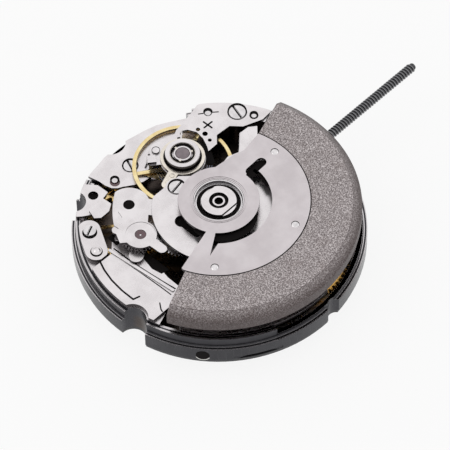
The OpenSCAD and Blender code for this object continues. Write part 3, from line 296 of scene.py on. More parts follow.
def make_satin(name):
    """Rotor plate: satin, slightly warmer, with turned grain round the hub and painted shade on its walls."""
    f = Finish(name, Metallic=1.0)
    place = f.place()
    x, y = f.along(place, 0), f.along(place, 1)
    radius = (x * x + y * y).root() / MM
    rings = f.node("ShaderNodeTexNoise", {"noise_dimensions": "1D"},
                   {"W": radius, "Scale": 26.0, "Detail": 3.0, "Roughness": 0.7})
    clouds = f.noise(2.4, 3, 0.6)
    pits = f.noise(0.06, 3, 0.7)
    tone = f.step(clouds * 0.6 + rings * 0.25 + pits * 0.15, 0.36, 0.64)
    base = f.blend((0.56, 0.515, 0.53), (0.66, 0.615, 0.63), tone)
    height = f.along(f.facing(), 2)
    # Painted shade: side walls of the plate turn near black
    base = f.blend((0.05, 0.045, 0.046), base, f.step((height * height).root(), 0.35, 0.62))
    return f.surface(Base_Color=base, Roughness=f.spread(pits, 0.28, 0.40),
                     Normal=f.bump(rings * 0.5 + pits * 0.5, 0.004, 0.4))


def make_base(name):
    """Main plate: pale tops, with painted shade for the near-black sides and the dark, warm floor between the pillars.
    """
    f = Finish(name, Metallic=1.0)
    place = f.place()
    height = f.along(place, 2) / MM
    x, y = f.along(place, 0), f.along(place, 1)
    radius = (x * x + y * y).root() / MM
    up = f.step(f.along(f.facing(), 2), 0.55, 0.85)
    clouds = f.noise(0.9, 3, 0.6)
    specks = f.noise(0.07, 2, 0.6)
    # Painted shade: near-black sides and a dark, warm floor in the deep part inside the band; the pale colour shows
    # only on faces that look up
    side = f.blend((0.040, 0.040, 0.045), (0.085, 0.083, 0.09), clouds)
    floor = f.blend((0.035, 0.026, 0.022), (0.12, 0.10, 0.09), clouds)
    pale = f.blend((0.60, 0.57, 0.58), (0.74, 0.71, 0.72), clouds)
    inside = 1 - f.step(radius, 11.7, 12.1)
    deep_shade = inside * (1 - f.step(height, 1.7, 2.3))
    base = f.blend(f.blend(side, pale, up * f.step(height, 1.6, 1.9)), floor, deep_shade)
    return f.surface(Base_Color=base, Roughness=f.spread(clouds, 0.2, 0.36),
                     Normal=f.bump(specks, 0.004, 0.3))


def make_band(name):
    """Casing band: dark glossy sides with turned lines, and a painted highlight line on each top land."""
    f = Finish(name, Metallic=1.0)
    place = f.place()
    height = f.along(place, 2) / MM
    x, y = f.along(place, 0), f.along(place, 1)
    radius = (x * x + y * y).root() / MM
    up = f.step(f.along(f.facing(), 2), 0.6, 0.9)
    # Painted highlight: narrow bright rings on the top lands, and a fainter one at the outer edge
    outer = f.step(radius, 12.67, 12.69) * (1 - f.step(radius, 12.74, 12.77))
    inner = f.step(radius, 12.42, 12.45) * (1 - f.step(radius, 12.51, 12.53))
    bright = outer + inner + f.step(radius, 12.93, 12.95) * 0.5
    clouds = f.noise(1.1, 3, 0.6)
    lines = f.node("ShaderNodeTexNoise", {"noise_dimensions": "1D"},
                   {"W": height, "Scale": 18.0, "Detail": 3.0, "Roughness": 0.7})
    side = f.blend((0.030, 0.030, 0.034), (0.075, 0.074, 0.080), clouds * 0.6 + lines * 0.4)
    pale = f.blend((0.60, 0.57, 0.58), (0.82, 0.79, 0.80), clouds)
    return f.surface(Base_Color=f.blend(side, pale, up * bright), Roughness=f.spread(lines, 0.16, 0.30),
                     Normal=f.bump(lines, 0.006, 0.35))


def make_steel(name):
    f = Finish(name, Metallic=1.0)
    clouds = f.noise(0.5, 3, 0.6)
    scratches = f.noise(0.014, 2, 0.6, f.stretched((1, 0.05, 1), -20))
    base = f.blend((0.64, 0.62, 0.63), (0.82, 0.79, 0.80), f.step(clouds * 0.6 + scratches * 0.4, 0.35, 0.65))
    height = f.along(f.facing(), 2)
    # Painted shade: faces that look neither up nor down turn near black
    base = f.blend((0.10, 0.095, 0.10), base, f.step((height * height).root(), 0.3, 0.6))
    return f.surface(Base_Color=base, Roughness=f.spread(clouds, 0.14, 0.26),
                     Normal=f.bump(scratches, 0.002, 0.4))


def make_gilt(name):
    f = Finish(name, Metallic=1.0)
    clouds = f.noise(0.6, 3, 0.6)
    grain = f.noise(0.02, 2, 0.6, f.stretched((1, 0.08, 1), 60))
    base = f.blend((0.64, 0.44, 0.17), (0.86, 0.66, 0.33), f.step(clouds * 0.7 + grain * 0.3, 0.36, 0.64))
    return f.surface(Base_Color=base, Roughness=f.spread(grain, 0.16, 0.28),
                     Normal=f.bump(grain, 0.002, 0.4))


def pale_gold(name, colour, shade):
    f = Finish(name, Metallic=1.0)
    clouds = f.noise(0.6, 3, 0.6)
    grain = f.noise(0.02, 2, 0.6, f.stretched((1, 0.08, 1), 60))
    height = f.along(f.facing(), 2)
    base = f.blend(shade, colour, f.step(clouds * 0.7 + grain * 0.3, 0.36, 0.64))
    # Painted shade: walls turn dark brown
    base = f.blend((0.16, 0.11, 0.06), base, f.step((height * height).root(), 0.25, 0.6))
    return f.surface(Base_Color=base, Roughness=f.spread(grain, 0.16, 0.26),
                     Normal=f.bump(grain, 0.002, 0.4))


def make_pale_gilt(name):
    """Regulator and shock spring: nickel with a touch of gold."""
    return pale_gold(name, (0.84, 0.78, 0.70), (0.74, 0.68, 0.60))


def make_bright_gilt(name):
    """Balance: pale bright yellow."""
    return pale_gold(name, (0.93, 0.79, 0.46), (0.80, 0.63, 0.32))


def make_shade(name):
    """Painted shade: near black, for dark sheets laid where there is only shadow."""
    f = Finish(name, Metallic=0.0, Specular_IOR_Level=0.08)
    clouds = f.noise(0.3, 2, 0.6)
    return f.surface(Base_Color=f.blend((0.002, 0.0015, 0.0015), (0.008, 0.006, 0.006), clouds),
                     Roughness=f.spread(clouds, 0.55, 0.75))


def make_ruby(name):
    f = Finish(name, Metallic=0.0, Roughness=0.06, IOR=1.76, Coat_Weight=0.6)
    depth = f.noise(0.5, 2, 0.5)
    return f.surface(Base_Color=f.blend((0.015, 0.001, 0.004), (0.10, 0.006, 0.022), depth),
                     Roughness=f.spread(f.noise(0.08, 2), 0.04, 0.10))


def make_cap(name):
    """Balance cap jewel: violet-grey from the gilding under it."""
    f = Finish(name, Metallic=0.0, Roughness=0.08, IOR=1.76, Coat_Weight=0.5)
    cloud = f.noise(0.35, 2, 0.5)
    return f.surface(Base_Color=f.blend((0.10, 0.07, 0.085), (0.24, 0.18, 0.20), cloud),
                     Roughness=f.spread(cloud, 0.05, 0.14))


def make_sintered(name):
    """Rotor weight: coarse sintered grain, browner and darker below the flat top, where the darkening is painted shade.
    """
    f = Finish(name, Metallic=0.85)
    height = f.along(f.place(), 2) / MM
    grain = f.noise(0.095, 3, 0.65)
    fine = f.noise(0.04, 2, 0.7)
    patches = f.noise(1.5, 3, 0.6)
    lumps = f.cells(0.12)
    mottle = grain * 0.6 + fine * 0.25 + lumps * 0.2
    colour = f.ramp(f.step(mottle, 0.34, 0.66), (0.0, (0.11, 0.094, 0.094)), (0.35, (0.205, 0.179, 0.179)),
                    (0.65, (0.30, 0.266, 0.266)), (1.0, (0.66, 0.61, 0.61)))
    warm = f.blend(colour, (0.20, 0.155, 0.14), f.step(patches, 0.45, 0.75) * 0.22)
    # Painted shade: the bevel below the flat top and a thin band at the top's edge darken to dark brown
    bevel = (1 - f.step(height, 5.99, 6.02)) * 0.34 + (1 - f.step(height, 5.30, 6.0)) * 0.42
    brow_shade = f.step(height, 5.985, 6.0) * (1 - f.step(height, 6.03, 6.045)) * 0.55
    low = f.blend(warm, (0.060, 0.044, 0.042), bevel.most(brow_shade))
    return f.surface(Base_Color=low, Roughness=f.spread(fine, 0.38, 0.58),
                     Normal=f.bump(mottle, 0.03, 0.5))


def make_plastic(name):
    f = Finish(name, Metallic=0.0, Coat_Weight=0.15)
    clouds = f.noise(0.8, 3, 0.6)
    pits = f.noise(0.08, 2, 0.6)
    return f.surface(Base_Color=f.blend((0.010, 0.010, 0.012), (0.030, 0.030, 0.034), clouds),
                     Roughness=f.spread(pits, 0.3, 0.5), Normal=f.bump(pits, 0.006, 0.4))


def make_enamel(name):
    f = Finish(name, Metallic=0.0, Coat_Weight=0.2)
    clouds = f.noise(1.4, 3, 0.6)
    pits = f.noise(0.09, 2, 0.6)
    return f.surface(Base_Color=f.blend((0.80, 0.79, 0.75), (0.88, 0.87, 0.84), clouds),
                     Roughness=f.spread(pits, 0.35, 0.5), Normal=f.bump(pits, 0.003, 0.3))


def make_ink(name):
    f = Finish(name, Metallic=0.0)
    clouds = f.noise(0.2, 2, 0.6)
    return f.surface(Base_Color=f.blend((0.008, 0.008, 0.01), (0.02, 0.02, 0.024), clouds),
                     Roughness=f.spread(clouds, 0.4, 0.55))


def make_blued(name):
    f = Finish(name, Metallic=1.0)
    clouds = f.noise(0.3, 2, 0.6)
    return f.surface(Base_Color=f.blend((0.16, 0.17, 0.24), (0.34, 0.35, 0.44), clouds),
                     Roughness=f.spread(clouds, 0.15, 0.25))


def make_thread(name):
    """Winding stem: dark steel, lighter on the thread's crests as painted highlight."""
    f = Finish(name, Metallic=1.0)
    place = f.place()
    y, z = f.along(place, 1) / MM, f.along(place, 2) / MM - 2.0
    # Painted highlight: beyond the core's radius the crests take the lighter colour
    crest = f.step((y * y + z * z).root(), 0.38, 0.44)
    clouds = f.noise(0.25, 3, 0.6)
    core = f.blend((0.045, 0.045, 0.048), (0.11, 0.11, 0.115), clouds)
    ridge = f.blend((0.15, 0.15, 0.155), (0.30, 0.30, 0.31), clouds)
    return f.surface(Base_Color=f.blend(core, ridge, crest), Roughness=f.spread(clouds, 0.26, 0.42),
                     Normal=f.bump(clouds, 0.003, 0.3))


FINISH_MAKERS = {
    "nickel_plate": make_nickel,
    "satin_nickel": make_satin,
    "dark_nickel": make_base,
    "casing_band": make_band,
    "polished_steel": make_steel,
    "gilt_brass": make_gilt,
    "pale_gilt": make_pale_gilt,
    "bright_gilt": make_bright_gilt,
    "shade": make_shade,
    "ruby": make_ruby,
    "cap_ruby": make_cap,
    "sintered_tungsten": make_sintered,
    "black_plastic": make_plastic,
    "white_enamel": make_enamel,
    "print_ink": make_ink,
    "blued_steel": make_blued,
    "stem_thread": make_thread,
}


# Modelling: small steps by hand, in millimetres
def deselect():
    active = bpy.context.view_layer.objects.active
    if active and active.mode != "OBJECT":
        bpy.ops.object.mode_set(mode="OBJECT")
    bpy.ops.object.select_all(action="DESELECT")


def pick(*objects):
    deselect()
    for piece in objects:
        piece.select_set(True)
    bpy.context.view_layer.objects.active = objects[0]


def outline(name, corners):
    """A circle of as many points as there are corners, each moved to its corner."""
    deselect()
    bpy.ops.mesh.primitive_circle_add(vertices=len(corners), radius=1)
    piece = bpy.context.object
    piece.name = piece.data.name = name
    for vertex, corner in zip(piece.data.vertices, corners):
        vertex.co = corner
    bpy.ops.object.mode_set(mode="EDIT")
    bpy.ops.mesh.select_all(action="SELECT")
    return piece


def close_up(merge=0.0005):
    """Merges doubles, turns the faces outwards and leaves edit mode."""
    bpy.ops.mesh.select_all(action="SELECT")
    bpy.ops.mesh.remove_doubles(threshold=merge)
    bpy.ops.mesh.normals_make_consistent(inside=False)
    bpy.ops.object.mode_set(mode="OBJECT")


def turned(name, profile, centre=(0, 0), start=0, sweep=360, steps=96):
    """A closed profile of (radius, height) corners spun round an upright axis."""
    across = polar(1, start)
    piece = outline(name, [(centre[0] + r * across[0], centre[1] + r * across[1], z) for r, z in profile])
    bpy.ops.mesh.spin(steps=steps, angle=-math.radians(sweep), center=(*centre, 0), axis=(0, 0, 1))
    if sweep < 360:
        bpy.ops.mesh.select_all(action="SELECT")
        bpy.ops.mesh.remove_doubles(threshold=0.0005)
        bpy.ops.mesh.select_all(action="DESELECT")
        bpy.ops.mesh.select_non_manifold(use_wire=False, use_multi_face=False,
                                         use_non_contiguous=False, use_verts=False)
        bpy.ops.mesh.fill_holes(sides=0)
    close_up()
    return piece


def prism(name, corners, low, high):
    """A flat outline raised to a slab."""
    piece = outline(name, [(x, y, low) for x, y in corners])
    bpy.ops.mesh.edge_face_add()
    bpy.ops.mesh.extrude_region_move(TRANSFORM_OT_translate={"value": (0, 0, high - low)})
    close_up()
    return piece


def circle_corners(centre, radius, count=96):
    return [(centre[0] + radius * math.cos(2 * math.pi * i / count),
             centre[1] + radius * math.sin(2 * math.pi * i / count)) for i in range(count)]


def pillar(name, centre, radius, low, high, count=64):
    return prism(name, circle_corners(centre, radius, count), low, high)


def strip_corners(start, end, width, rounded=16):
    """A straight strip between two points with round ends."""
    heading = math.atan2(end[1] - start[1], end[0] - start[0])
    corners = []
    for middle, turn in ((end, -math.pi / 2), (start, math.pi / 2)):
        for i in range(rounded + 1):
            angle = heading + turn + math.pi * i / rounded
            corners.append((middle[0] + width / 2 * math.cos(angle), middle[1] + width / 2 * math.sin(angle)))
    return corners


def strip(name, start, end, width, low, high):
    return prism(name, strip_corners(start, end, width), low, high)


def polyline(name, corners, width, low, high):
    """Strips from corner to corner, welded into one."""
    return weld(*[strip(name, start, end, width, low, high) for start, end in zip(corners, corners[1:])])


def placed(piece):
    """Applies where the piece stands to its mesh."""
    pick(piece)
    bpy.ops.object.transform_apply(location=True, rotation=True, scale=True)
    return piece


def apply_modifier(piece, modifier):
    pick(piece)
    bpy.ops.object.modifier_apply(modifier=modifier.name)


def boolean(piece, tool, operation):
    modifier = piece.modifiers.new("Joint", "BOOLEAN")
    modifier.operation = operation
    modifier.object = tool
    modifier.solver = "EXACT"
    apply_modifier(piece, modifier)
    bpy.data.objects.remove(tool, do_unlink=True)


def cut(piece, *tools):
    for tool in tools:
        boolean(piece, tool, "DIFFERENCE")
    return piece


def weld(piece, *others):
    for other in others:
        boolean(piece, other, "UNION")
    return piece


def join(piece, *others):
    pick(piece, *others)
    bpy.ops.object.join()
    return piece


def soften(piece, width, segments=2, angle=40):
    """Breaks the sharp edges with a small bevel."""
    pick(piece)
    bpy.ops.object.mode_set(mode="EDIT")
    bpy.ops.mesh.select_all(action="SELECT")
    bpy.ops.mesh.remove_doubles(threshold=0.0008)
    bpy.ops.mesh.dissolve_limited(angle_limit=math.radians(0.6))
    bpy.ops.object.mode_set(mode="OBJECT")
    modifier = piece.modifiers.new("Edge", "BEVEL")
    modifier.width = width
    modifier.segments = segments
    modifier.limit_method = "ANGLE"
    modifier.angle_limit = math.radians(angle)
    modifier.use_clamp_overlap = False
    apply_modifier(piece, modifier)
    return piece


def copied(piece, name, place=(0, 0, 0), degrees=0):
    """A copy with its own mesh, turned about the upright axis and set in its place."""
    pick(piece)
    bpy.ops.object.duplicate(linked=False)
    made = bpy.context.object
    made.name = made.data.name = name
    made.matrix_world = Matrix.Translation(place) @ Matrix.Rotation(math.radians(degrees), 4, "Z")
    pick(made)
    bpy.ops.object.transform_apply(location=True, rotation=True, scale=True)
    return made


def settle(piece, body, slot, look=None, stands_for=(), smooth=35):
    """Brings a piece from millimetres to metres and hangs it on its body."""
    pick(piece)
    piece.scale = (MM, MM, MM)
    bpy.ops.object.transform_apply(location=True, rotation=True, scale=True)
    bpy.ops.object.shade_smooth_by_angle(angle=math.radians(smooth))
    # Broad flat faces keep their own normal, so broken edges don't shade them
    level = piece.modifiers.new("Level", "WEIGHTED_NORMAL")
    level.mode = "FACE_AREA"
    level.weight = 100
    level.keep_sharp = True
    apply_modifier(piece, level)
    piece.data.materials.clear()
    piece.data.materials.append(finish(look or slot))
    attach(piece, body)
    if stands_for:
        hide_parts(*stands_for)
    deselect()
    return piece


def node_copy(node, name):
    """The mesh of a frame node, merged and in millimetres, to be worked on."""
    source = frame["nodes"][node]
    deselect()
    piece = source.copy()
    piece.data = source.data.copy()
    bpy.context.scene.collection.objects.link(piece)
    piece.parent = None
    piece.matrix_world = Matrix.Scale(1000, 4)
    piece.name = piece.data.name = name
    pick(piece)
    bpy.ops.object.transform_apply(location=True, rotation=True, scale=True)
    bpy.ops.mesh.customdata_custom_splitnormals_clear()
    return piece


# Settings that a user would change
class StageSettings(bpy.types.PropertyGroup):
    """Camera and light."""
    azimuth: FloatProperty(name="Azimuth", description="Camera direction round the movement", default=math.radians(-44.4), subtype="ANGLE")
    elevation: FloatProperty(name="Elevation", description="Camera height above the horizon", default=math.radians(54.3), subtype="ANGLE")
    roll: FloatProperty(name="Roll", description="Camera roll", default=math.radians(-1.2), subtype="ANGLE")
    distance: FloatProperty(name="Distance", description="Camera distance from the rotor's hub", default=0.33, unit="LENGTH")
    lens: FloatProperty(name="Lens", description="Focal length in millimetres", default=303.6, min=1)
    key_power: FloatProperty(name="Key light", description="Power of the key light in watts", default=0.10, min=0)
    fill: FloatProperty(name="Fill", description="Strength of the surround on matt surfaces", default=0.75, min=0)


class RotorSettings(bpy.types.PropertyGroup):
    """Rotor, its weight and its bearing."""
    radius: FloatProperty(name="Weight radius", description="Outer radius of the weight", default=0.0125, unit="LENGTH")
    inner: FloatProperty(name="Weight inner radius", description="Radius where the plate meets the weight", default=0.00807, unit="LENGTH")
    arc_start: FloatProperty(name="Arc start", description="Direction of the weight's first end", default=math.radians(-156.3), subtype="ANGLE")
    arc: FloatProperty(name="Arc", description="Angle that the weight spans", default=math.radians(175.0), subtype="ANGLE")
    edge: FloatProperty(name="Edge", description="Broken edge of the rotor plate", default=0.00004, unit="LENGTH")


class BalanceSettings(bpy.types.PropertyGroup):
    """Balance wheel and hairspring."""
    radius: FloatProperty(name="Rim radius", description="Outer radius of the balance rim", default=0.0045, unit="LENGTH")
    rim: FloatProperty(name="Rim width", description="Width of the balance rim", default=0.00038, unit="LENGTH")
    turns: IntProperty(name="Spring turns", description="Turns of the hairspring", default=11, min=3)
    blade: FloatProperty(name="Blade", description="Thickness of the hairspring", default=0.000035, unit="LENGTH")


class PlateSettings(bpy.types.PropertyGroup):
    """Bridges, casing band and small parts."""
    edge: FloatProperty(name="Bridge edge", description="Broken edge of the bridges", default=0.000035, unit="LENGTH")
    slot: FloatProperty(name="Screw slot", description="Width of a screw slot", default=0.0002, unit="LENGTH")
    pitch: FloatProperty(name="Thread pitch", description="Pitch of the stem's thread", default=0.0003, unit="LENGTH")
    floor_colour: FloatVectorProperty(name="Floor", description="Colour of the floor", default=(0.9, 0.9, 0.9), subtype="COLOR")


def settings(group):
    return getattr(bpy.context.scene, group)


class MOVEMENT_OT_stage(bpy.types.Operator):
    """Camera at the photograph's angle, pale floor and soft studio light"""
    bl_idname = "movement.stage"
    bl_label = "Stage"

    def execute(self, context):
        values = settings("movement_stage")
        hub = Vector((0, 0, 6.05)) * MM
        a, e = values.azimuth, values.elevation
        back = Vector((math.sin(a) * math.cos(e), -math.cos(a) * math.cos(e), math.sin(e)))
        camera = bpy.data.objects.new("camera", bpy.data.cameras.new("camera"))
        context.scene.collection.objects.link(camera)
        camera.data.sensor_width = 36
        camera.data.lens = values.lens
        camera.data.clip_start, camera.data.clip_end = 0.01, 10
        turn = (-back).to_track_quat("-Z", "Y") @ Quaternion((0, 0, 1), values.roll)
        right, upward = turn @ Vector((1, 0, 0)), turn @ Vector((0, 1, 0))
        # The hub stands 6.3 pixels left of and 25.3 above the middle, at 11.5 pixels to the millimetre
        aim = hub + right * 6.3 / 11.5 * MM - upward * 25.3 / 11.5 * MM
        camera.rotation_mode = "QUATERNION"
        camera.rotation_quaternion = turn
        camera.location = aim + back * values.distance
        context.scene.camera = camera

        deselect()
        bpy.ops.mesh.primitive_plane_add(size=1.2, location=(0, 0, -1.92 * MM))
        floor = context.object
        floor.name = "floor"
        f = Finish("floor")
        seen = self.seen(f)
        self.shadowed(f, seen, values, settings("movement_plates").floor_colour)
        floor.data.materials.append(f.material)

        world = bpy.data.worlds.new("studio")
        context.scene.world = world
        world.use_nodes = True
        f = Finish.__new__(Finish)
        f.tree = world.node_tree
        background = f.tree.nodes["Background"]
        seen = self.seen(f)
        background.inputs["Color"].default_value = (1, 1, 1, 1)
        f.feed(background.inputs["Strength"], seen * (1 - values.fill) + values.fill)

        for name, place, size, power, tint in (
                ("key", (-0.16, 0.20, 0.34), 0.22, values.key_power, (1.0, 0.99, 0.98)),
                ("side", (0.26, -0.05, 0.22), 0.16, values.key_power * 0.35, (0.98, 0.99, 1.0))):
            lamp = bpy.data.objects.new(name, bpy.data.lights.new(name, "AREA"))
            context.scene.collection.objects.link(lamp)
            lamp.data.size = size
            lamp.data.energy = power
            lamp.data.color = tint
            lamp.location = place
            lamp.rotation_euler = (-Vector(place)).to_track_quat("-Z", "Y").to_euler()
        context.scene.view_settings.view_transform = "Standard"
        return {"FINISHED"}

    def seen(self, f):
        """1 for camera, glossy and transmission rays."""
        camera = f.node("ShaderNodeLightPath", output="Is Camera Ray")
        glossy = f.node("ShaderNodeLightPath", output="Is Glossy Ray")
        through = f.node("ShaderNodeLightPath", output="Is Transmission Ray")
        return (camera + glossy + through).least(1.0)

    def shadowed(self, f, seen, values, colour):
        """A matt floor, mostly lifted to white where it is looked at, that keeps a soft shadow."""
        f.surface(Base_Color=(*colour, 1), Roughness=0.9)
        glow = f.node("ShaderNodeEmission", None, {"Color": (1, 1, 1, 1), "Strength": 1.0}, "Emission")
        mixed = f.node("ShaderNodeMixShader", None, {0: seen * 0.86, 1: Wire(f, f.shader.outputs[0]), 2: glow})
        f.tree.links.new(mixed.socket, f.tree.nodes["Material Output"].inputs["Surface"])


class MOVEMENT_OT_frame_finishes(bpy.types.Operator):
    """Gives every node of the frame the finish of its slot"""
    bl_idname = "movement.frame_finishes"
    bl_label = "Frame finishes"

    def execute(self, context):
        slots = {part["node"]: part["material_slot"] for part in frame["record"]["subparts"]}
        for name, node in frame["nodes"].items():
            look = {"cap_jewel": "cap_ruby", "winding_stem": "stem_thread"}.get(name, slots[name])
            node.data.materials.clear()
            node.data.materials.append(finish(look))
        return {"FINISHED"}


class MOVEMENT_OT_casing_band(bpy.types.Operator):
    """Turned casing band round the main plate, with its notches and bores"""
    bl_idname = "movement.casing_band"
    bl_label = "Casing band"

    def execute(self, context):
        band = turned("casing_band", [(12.19, 0.36), (12.92, 0.36), (13.0, 0.44), (13.0, 1.86), (12.91, 1.956),
                                      (12.66, 1.956), (12.606, 2.0), (12.606, 2.87), (12.53, 2.956),
                                      (12.27, 2.956), (12.19, 2.88)], steps=240)
        tools = [pillar("tool", polar(reach, angle), radius, -1, 6) for angle, reach, radius in NOTCHES]
        for start, sweep, inner, outer, low in ((-112, 72, 11.9, 12.9, 2.3), (56, 57.2, 11.9, 12.9, 2.25),
                                                (58, 55.2, 12.0, 14.0, 1.0), (113.2, 7.3, 12.605, 14.0, 1.0)):
            tools.append(turned("tool", [(inner, low), (outer, low), (outer, 3.3), (inner, 3.3)],
                                start=start, sweep=sweep))
        middle = polar(12.75 + 1.5, -120)
        chord = prism("tool", [(-1.5, -2.2), (1.5, -2.2), (1.5, 2.2), (-1.5, 2.2)], -1, 0.85)
        tools.append(copied(chord, "tool_turned", (*middle, 0), -120))
        bpy.data.objects.remove(chord, do_unlink=True)
        for angle in (-141.7, 38.3):
            tools.append(self.bore(angle, 1.05, 0.55))
            tools.append(pillar("tool", polar(12.3, angle), 0.4, -1, 1.75))
        tools.append(self.bore(0, 2.0, 0.64))
        cut(band, *tools)
        soften(band, 0.025, 1, 50)
        settle(band, "root", "dark_nickel", "casing_band", smooth=30)
        return {"FINISHED"}

    def bore(self, angle, height, radius):
        """A lying cylinder that points outwards."""
        deselect()
        bpy.ops.mesh.primitive_cylinder_add(vertices=48, radius=radius, depth=2.4,
                                            location=(*polar(12.9, angle), height),
                                            rotation=(0, math.pi / 2, math.radians(angle)))
        bpy.ops.object.transform_apply(location=True, rotation=True, scale=True)
        return bpy.context.object


class MOVEMENT_OT_rotor(bpy.types.Operator):
    """Rotor weight, windowed plate and rivets"""
    bl_idname = "movement.rotor"
    bl_label = "Rotor"

    def execute(self, context):
        values = settings("movement_rotor")
        start, sweep = math.degrees(values.arc_start), math.degrees(values.arc)
        outer, inner, edge = values.radius / MM, values.inner / MM, values.edge / MM
        weight = turned("rotor_weight_piece", [
            (inner, 5.45), (inner, 6.05), (11.68, 6.05), (outer, 5.30), (outer, 4.25),
            (outer - 0.25, 3.9), (9.6, 3.9), (9.6, 5.45)], start=start, sweep=sweep, steps=180)
        soften(weight, 0.05, 3, 25)
        settle(weight, "rotor", "sintered_tungsten", stands_for=("rotor_weight",))

        plate = pillar("rotor_plate_piece", (0, 0), inner - 0.075, 5.75, 6.05, 240)
        away = [polar(inner, start - 0.1), (-7.38, -2.8), (-3.7, -1.75), (-1, -1), (0, 0), (2.3, 2.72),
                (4.4, 2.5), (5.4, 2.2), polar(inner, start + sweep + 0.1), (12, 9), (0, 14), (-14, 8), (-14, -6)]
        cut(plate, cut(prism("tool", away, 5, 7), pillar("tool", (0, 0), 3.57, 4, 8, 160)),
            pillar("tool", (0, 0), 2.22, 5, 7, 128),
            turned("tool", [(3.57, 5), (4.65, 5), (4.65, 7), (3.57, 7)], start=-140, sweep=143, steps=90),
            strip("tool", (4.15, 0.15), (5.5, 0.2), 0.9, 5, 7),
            prism("tool", [polar(3.77, -140), polar(4.65, -136), (-4.7, -3.62)], 5, 7),
            *[pillar("tool", place, 0.35, 5, 7, 48) for place in RIVETS])
        soften(plate, edge, 2, 40)
        cut(plate, *[turned("tool", [(r, 6.02), (r + w, 6.02), (r + w, 6.2), (r, 6.2)], steps=128)
                     for r, w in ((2.32, 0.045), (2.45, 0.06))])
        settle(plate, "rotor", "satin_nickel", stands_for=("rotor_plate",))
        # Painted shadow of the underside that shows inside the window, thick by the arm and thin by the hook; two more
        # dark sheets paint the shadow in the hook and along the window's outer edge
        crescent = pillar("window_shade", polar(1.2, -120), 3.1, 5.69, 5.73, 128)
        cut(crescent, pillar("tool", (0, 0), 3.40, 5, 7, 128),
            prism("tool", [(-6, -0.9), (0, 0), (6, -0.6), (6, 6), (-6, 6)], 5, 7))
        settle(crescent, "rotor", "satin_nickel", "shade")
        hook = strip("hook_shade", (4.15, 0.15), (5.5, 0.2), 0.94, 5.69, 5.73)
        settle(hook, "rotor", "satin_nickel", "shade")
        edge_shade = turned("window_edge_shade", [(4.44, 5.69), (4.75, 5.69), (4.75, 5.73), (4.44, 5.73)],
                            start=-24, sweep=27, steps=24)
        settle(edge_shade, "rotor", "satin_nickel", "shade")

        rivet = turned("rivet", [(0, 5.63), (0.5, 5.63), (0.5, 5.75), (0.34, 5.75), (0.34, 5.99),
                                 (0.29, 6.02), (0.2, 6.04), (0.1, 6.048), (0, 6.05)], steps=48)
        for number, place in enumerate(RIVETS):
            piece = copied(rivet, f"rotor_rivet_{number + 1}", (*place, 0))
            settle(piece, "rotor", "polished_steel", stands_for=("rotor_rivets",))
        bpy.data.objects.remove(rivet, do_unlink=True)
        return {"FINISHED"}


class MOVEMENT_OT_bearing(bpy.types.Operator):
    """Rotor bearing: outer race, inner race and the flatted nut"""
    bl_idname = "movement.bearing"
    bl_label = "Rotor bearing"

    def execute(self, context):
        race = turned("bearing_outer_piece", [
            (1.86, 5.18), (2.17, 5.18), (2.2, 5.21), (2.2, 5.64), (2.47, 5.64), (2.5, 5.67), (2.5, 5.745),
            (2.22, 5.745), (2.22, 6.005), (2.195, 6.03), (2.13, 6.03), (2.10, 6.0), (2.10, 5.66),
            (2.07, 5.64), (1.89, 5.64), (1.86, 5.61), (1.86, 5.52), (1.882, 5.47), (1.89, 5.42),
            (1.882, 5.37), (1.86, 5.32)], steps=128)
        settle(race, "rotor", "polished_steel", stands_for=("bearing_outer_race",))
        inner = turned("bearing_inner_piece", [
            (0.81, 5.2), (1.38, 5.2), (1.4, 5.22), (1.4, 5.3), (1.38, 5.36), (1.372, 5.42), (1.38, 5.48),
            (1.4, 5.54), (1.4, 5.62), (1.38, 5.64), (0.81, 5.64)], steps=96)
        settle(inner, "root", "polished_steel", stands_for=("bearing_inner_race",))
        nut = turned("bearing_nut_piece", [(0.80, 5.64), (1.58, 5.64), (1.58, 5.94), (1.53, 5.99),
                                           (0.87, 5.99), (0.84, 5.96), (0.84, 5.77), (0.80, 5.77)], steps=96)
        for side in (-1, 1):
            y0, y1 = sorted((side * 1.30, side * 3))
            cut(nut, prism("tool", [(-3, y0), (3, y0), (3, y1), (-3, y1)], 5.76, 7))
        soften(nut, 0.025, 2, 40)
        settle(nut, "root", "nickel_plate", stands_for=("bearing_nut",))
        # Painted shade: a dark ring for the black gap between the races round the nut
        race_shade = turned("bearing_race_shade", [(1.60, 5.60), (1.93, 5.60), (1.93, 5.655), (1.60, 5.655)], steps=96)
        settle(race_shade, "rotor", "dark_nickel", "shade")
        ring = turned("bearing_lip", [(1.92, 5.64), (2.07, 5.64), (2.07, 5.68), (2.05, 5.70), (1.94, 5.70),
                                      (1.92, 5.68)], steps=96)
        settle(ring, "rotor", "polished_steel")
        # Painted shade: a dark disc in the nut's recess
        recess = turned("nut_recess", [(0.55, 5.775), (0.83, 5.775), (0.83, 5.80), (0.55, 5.80)], steps=64)
        settle(recess, "root", "dark_nickel", "shade")
        return {"FINISHED"}


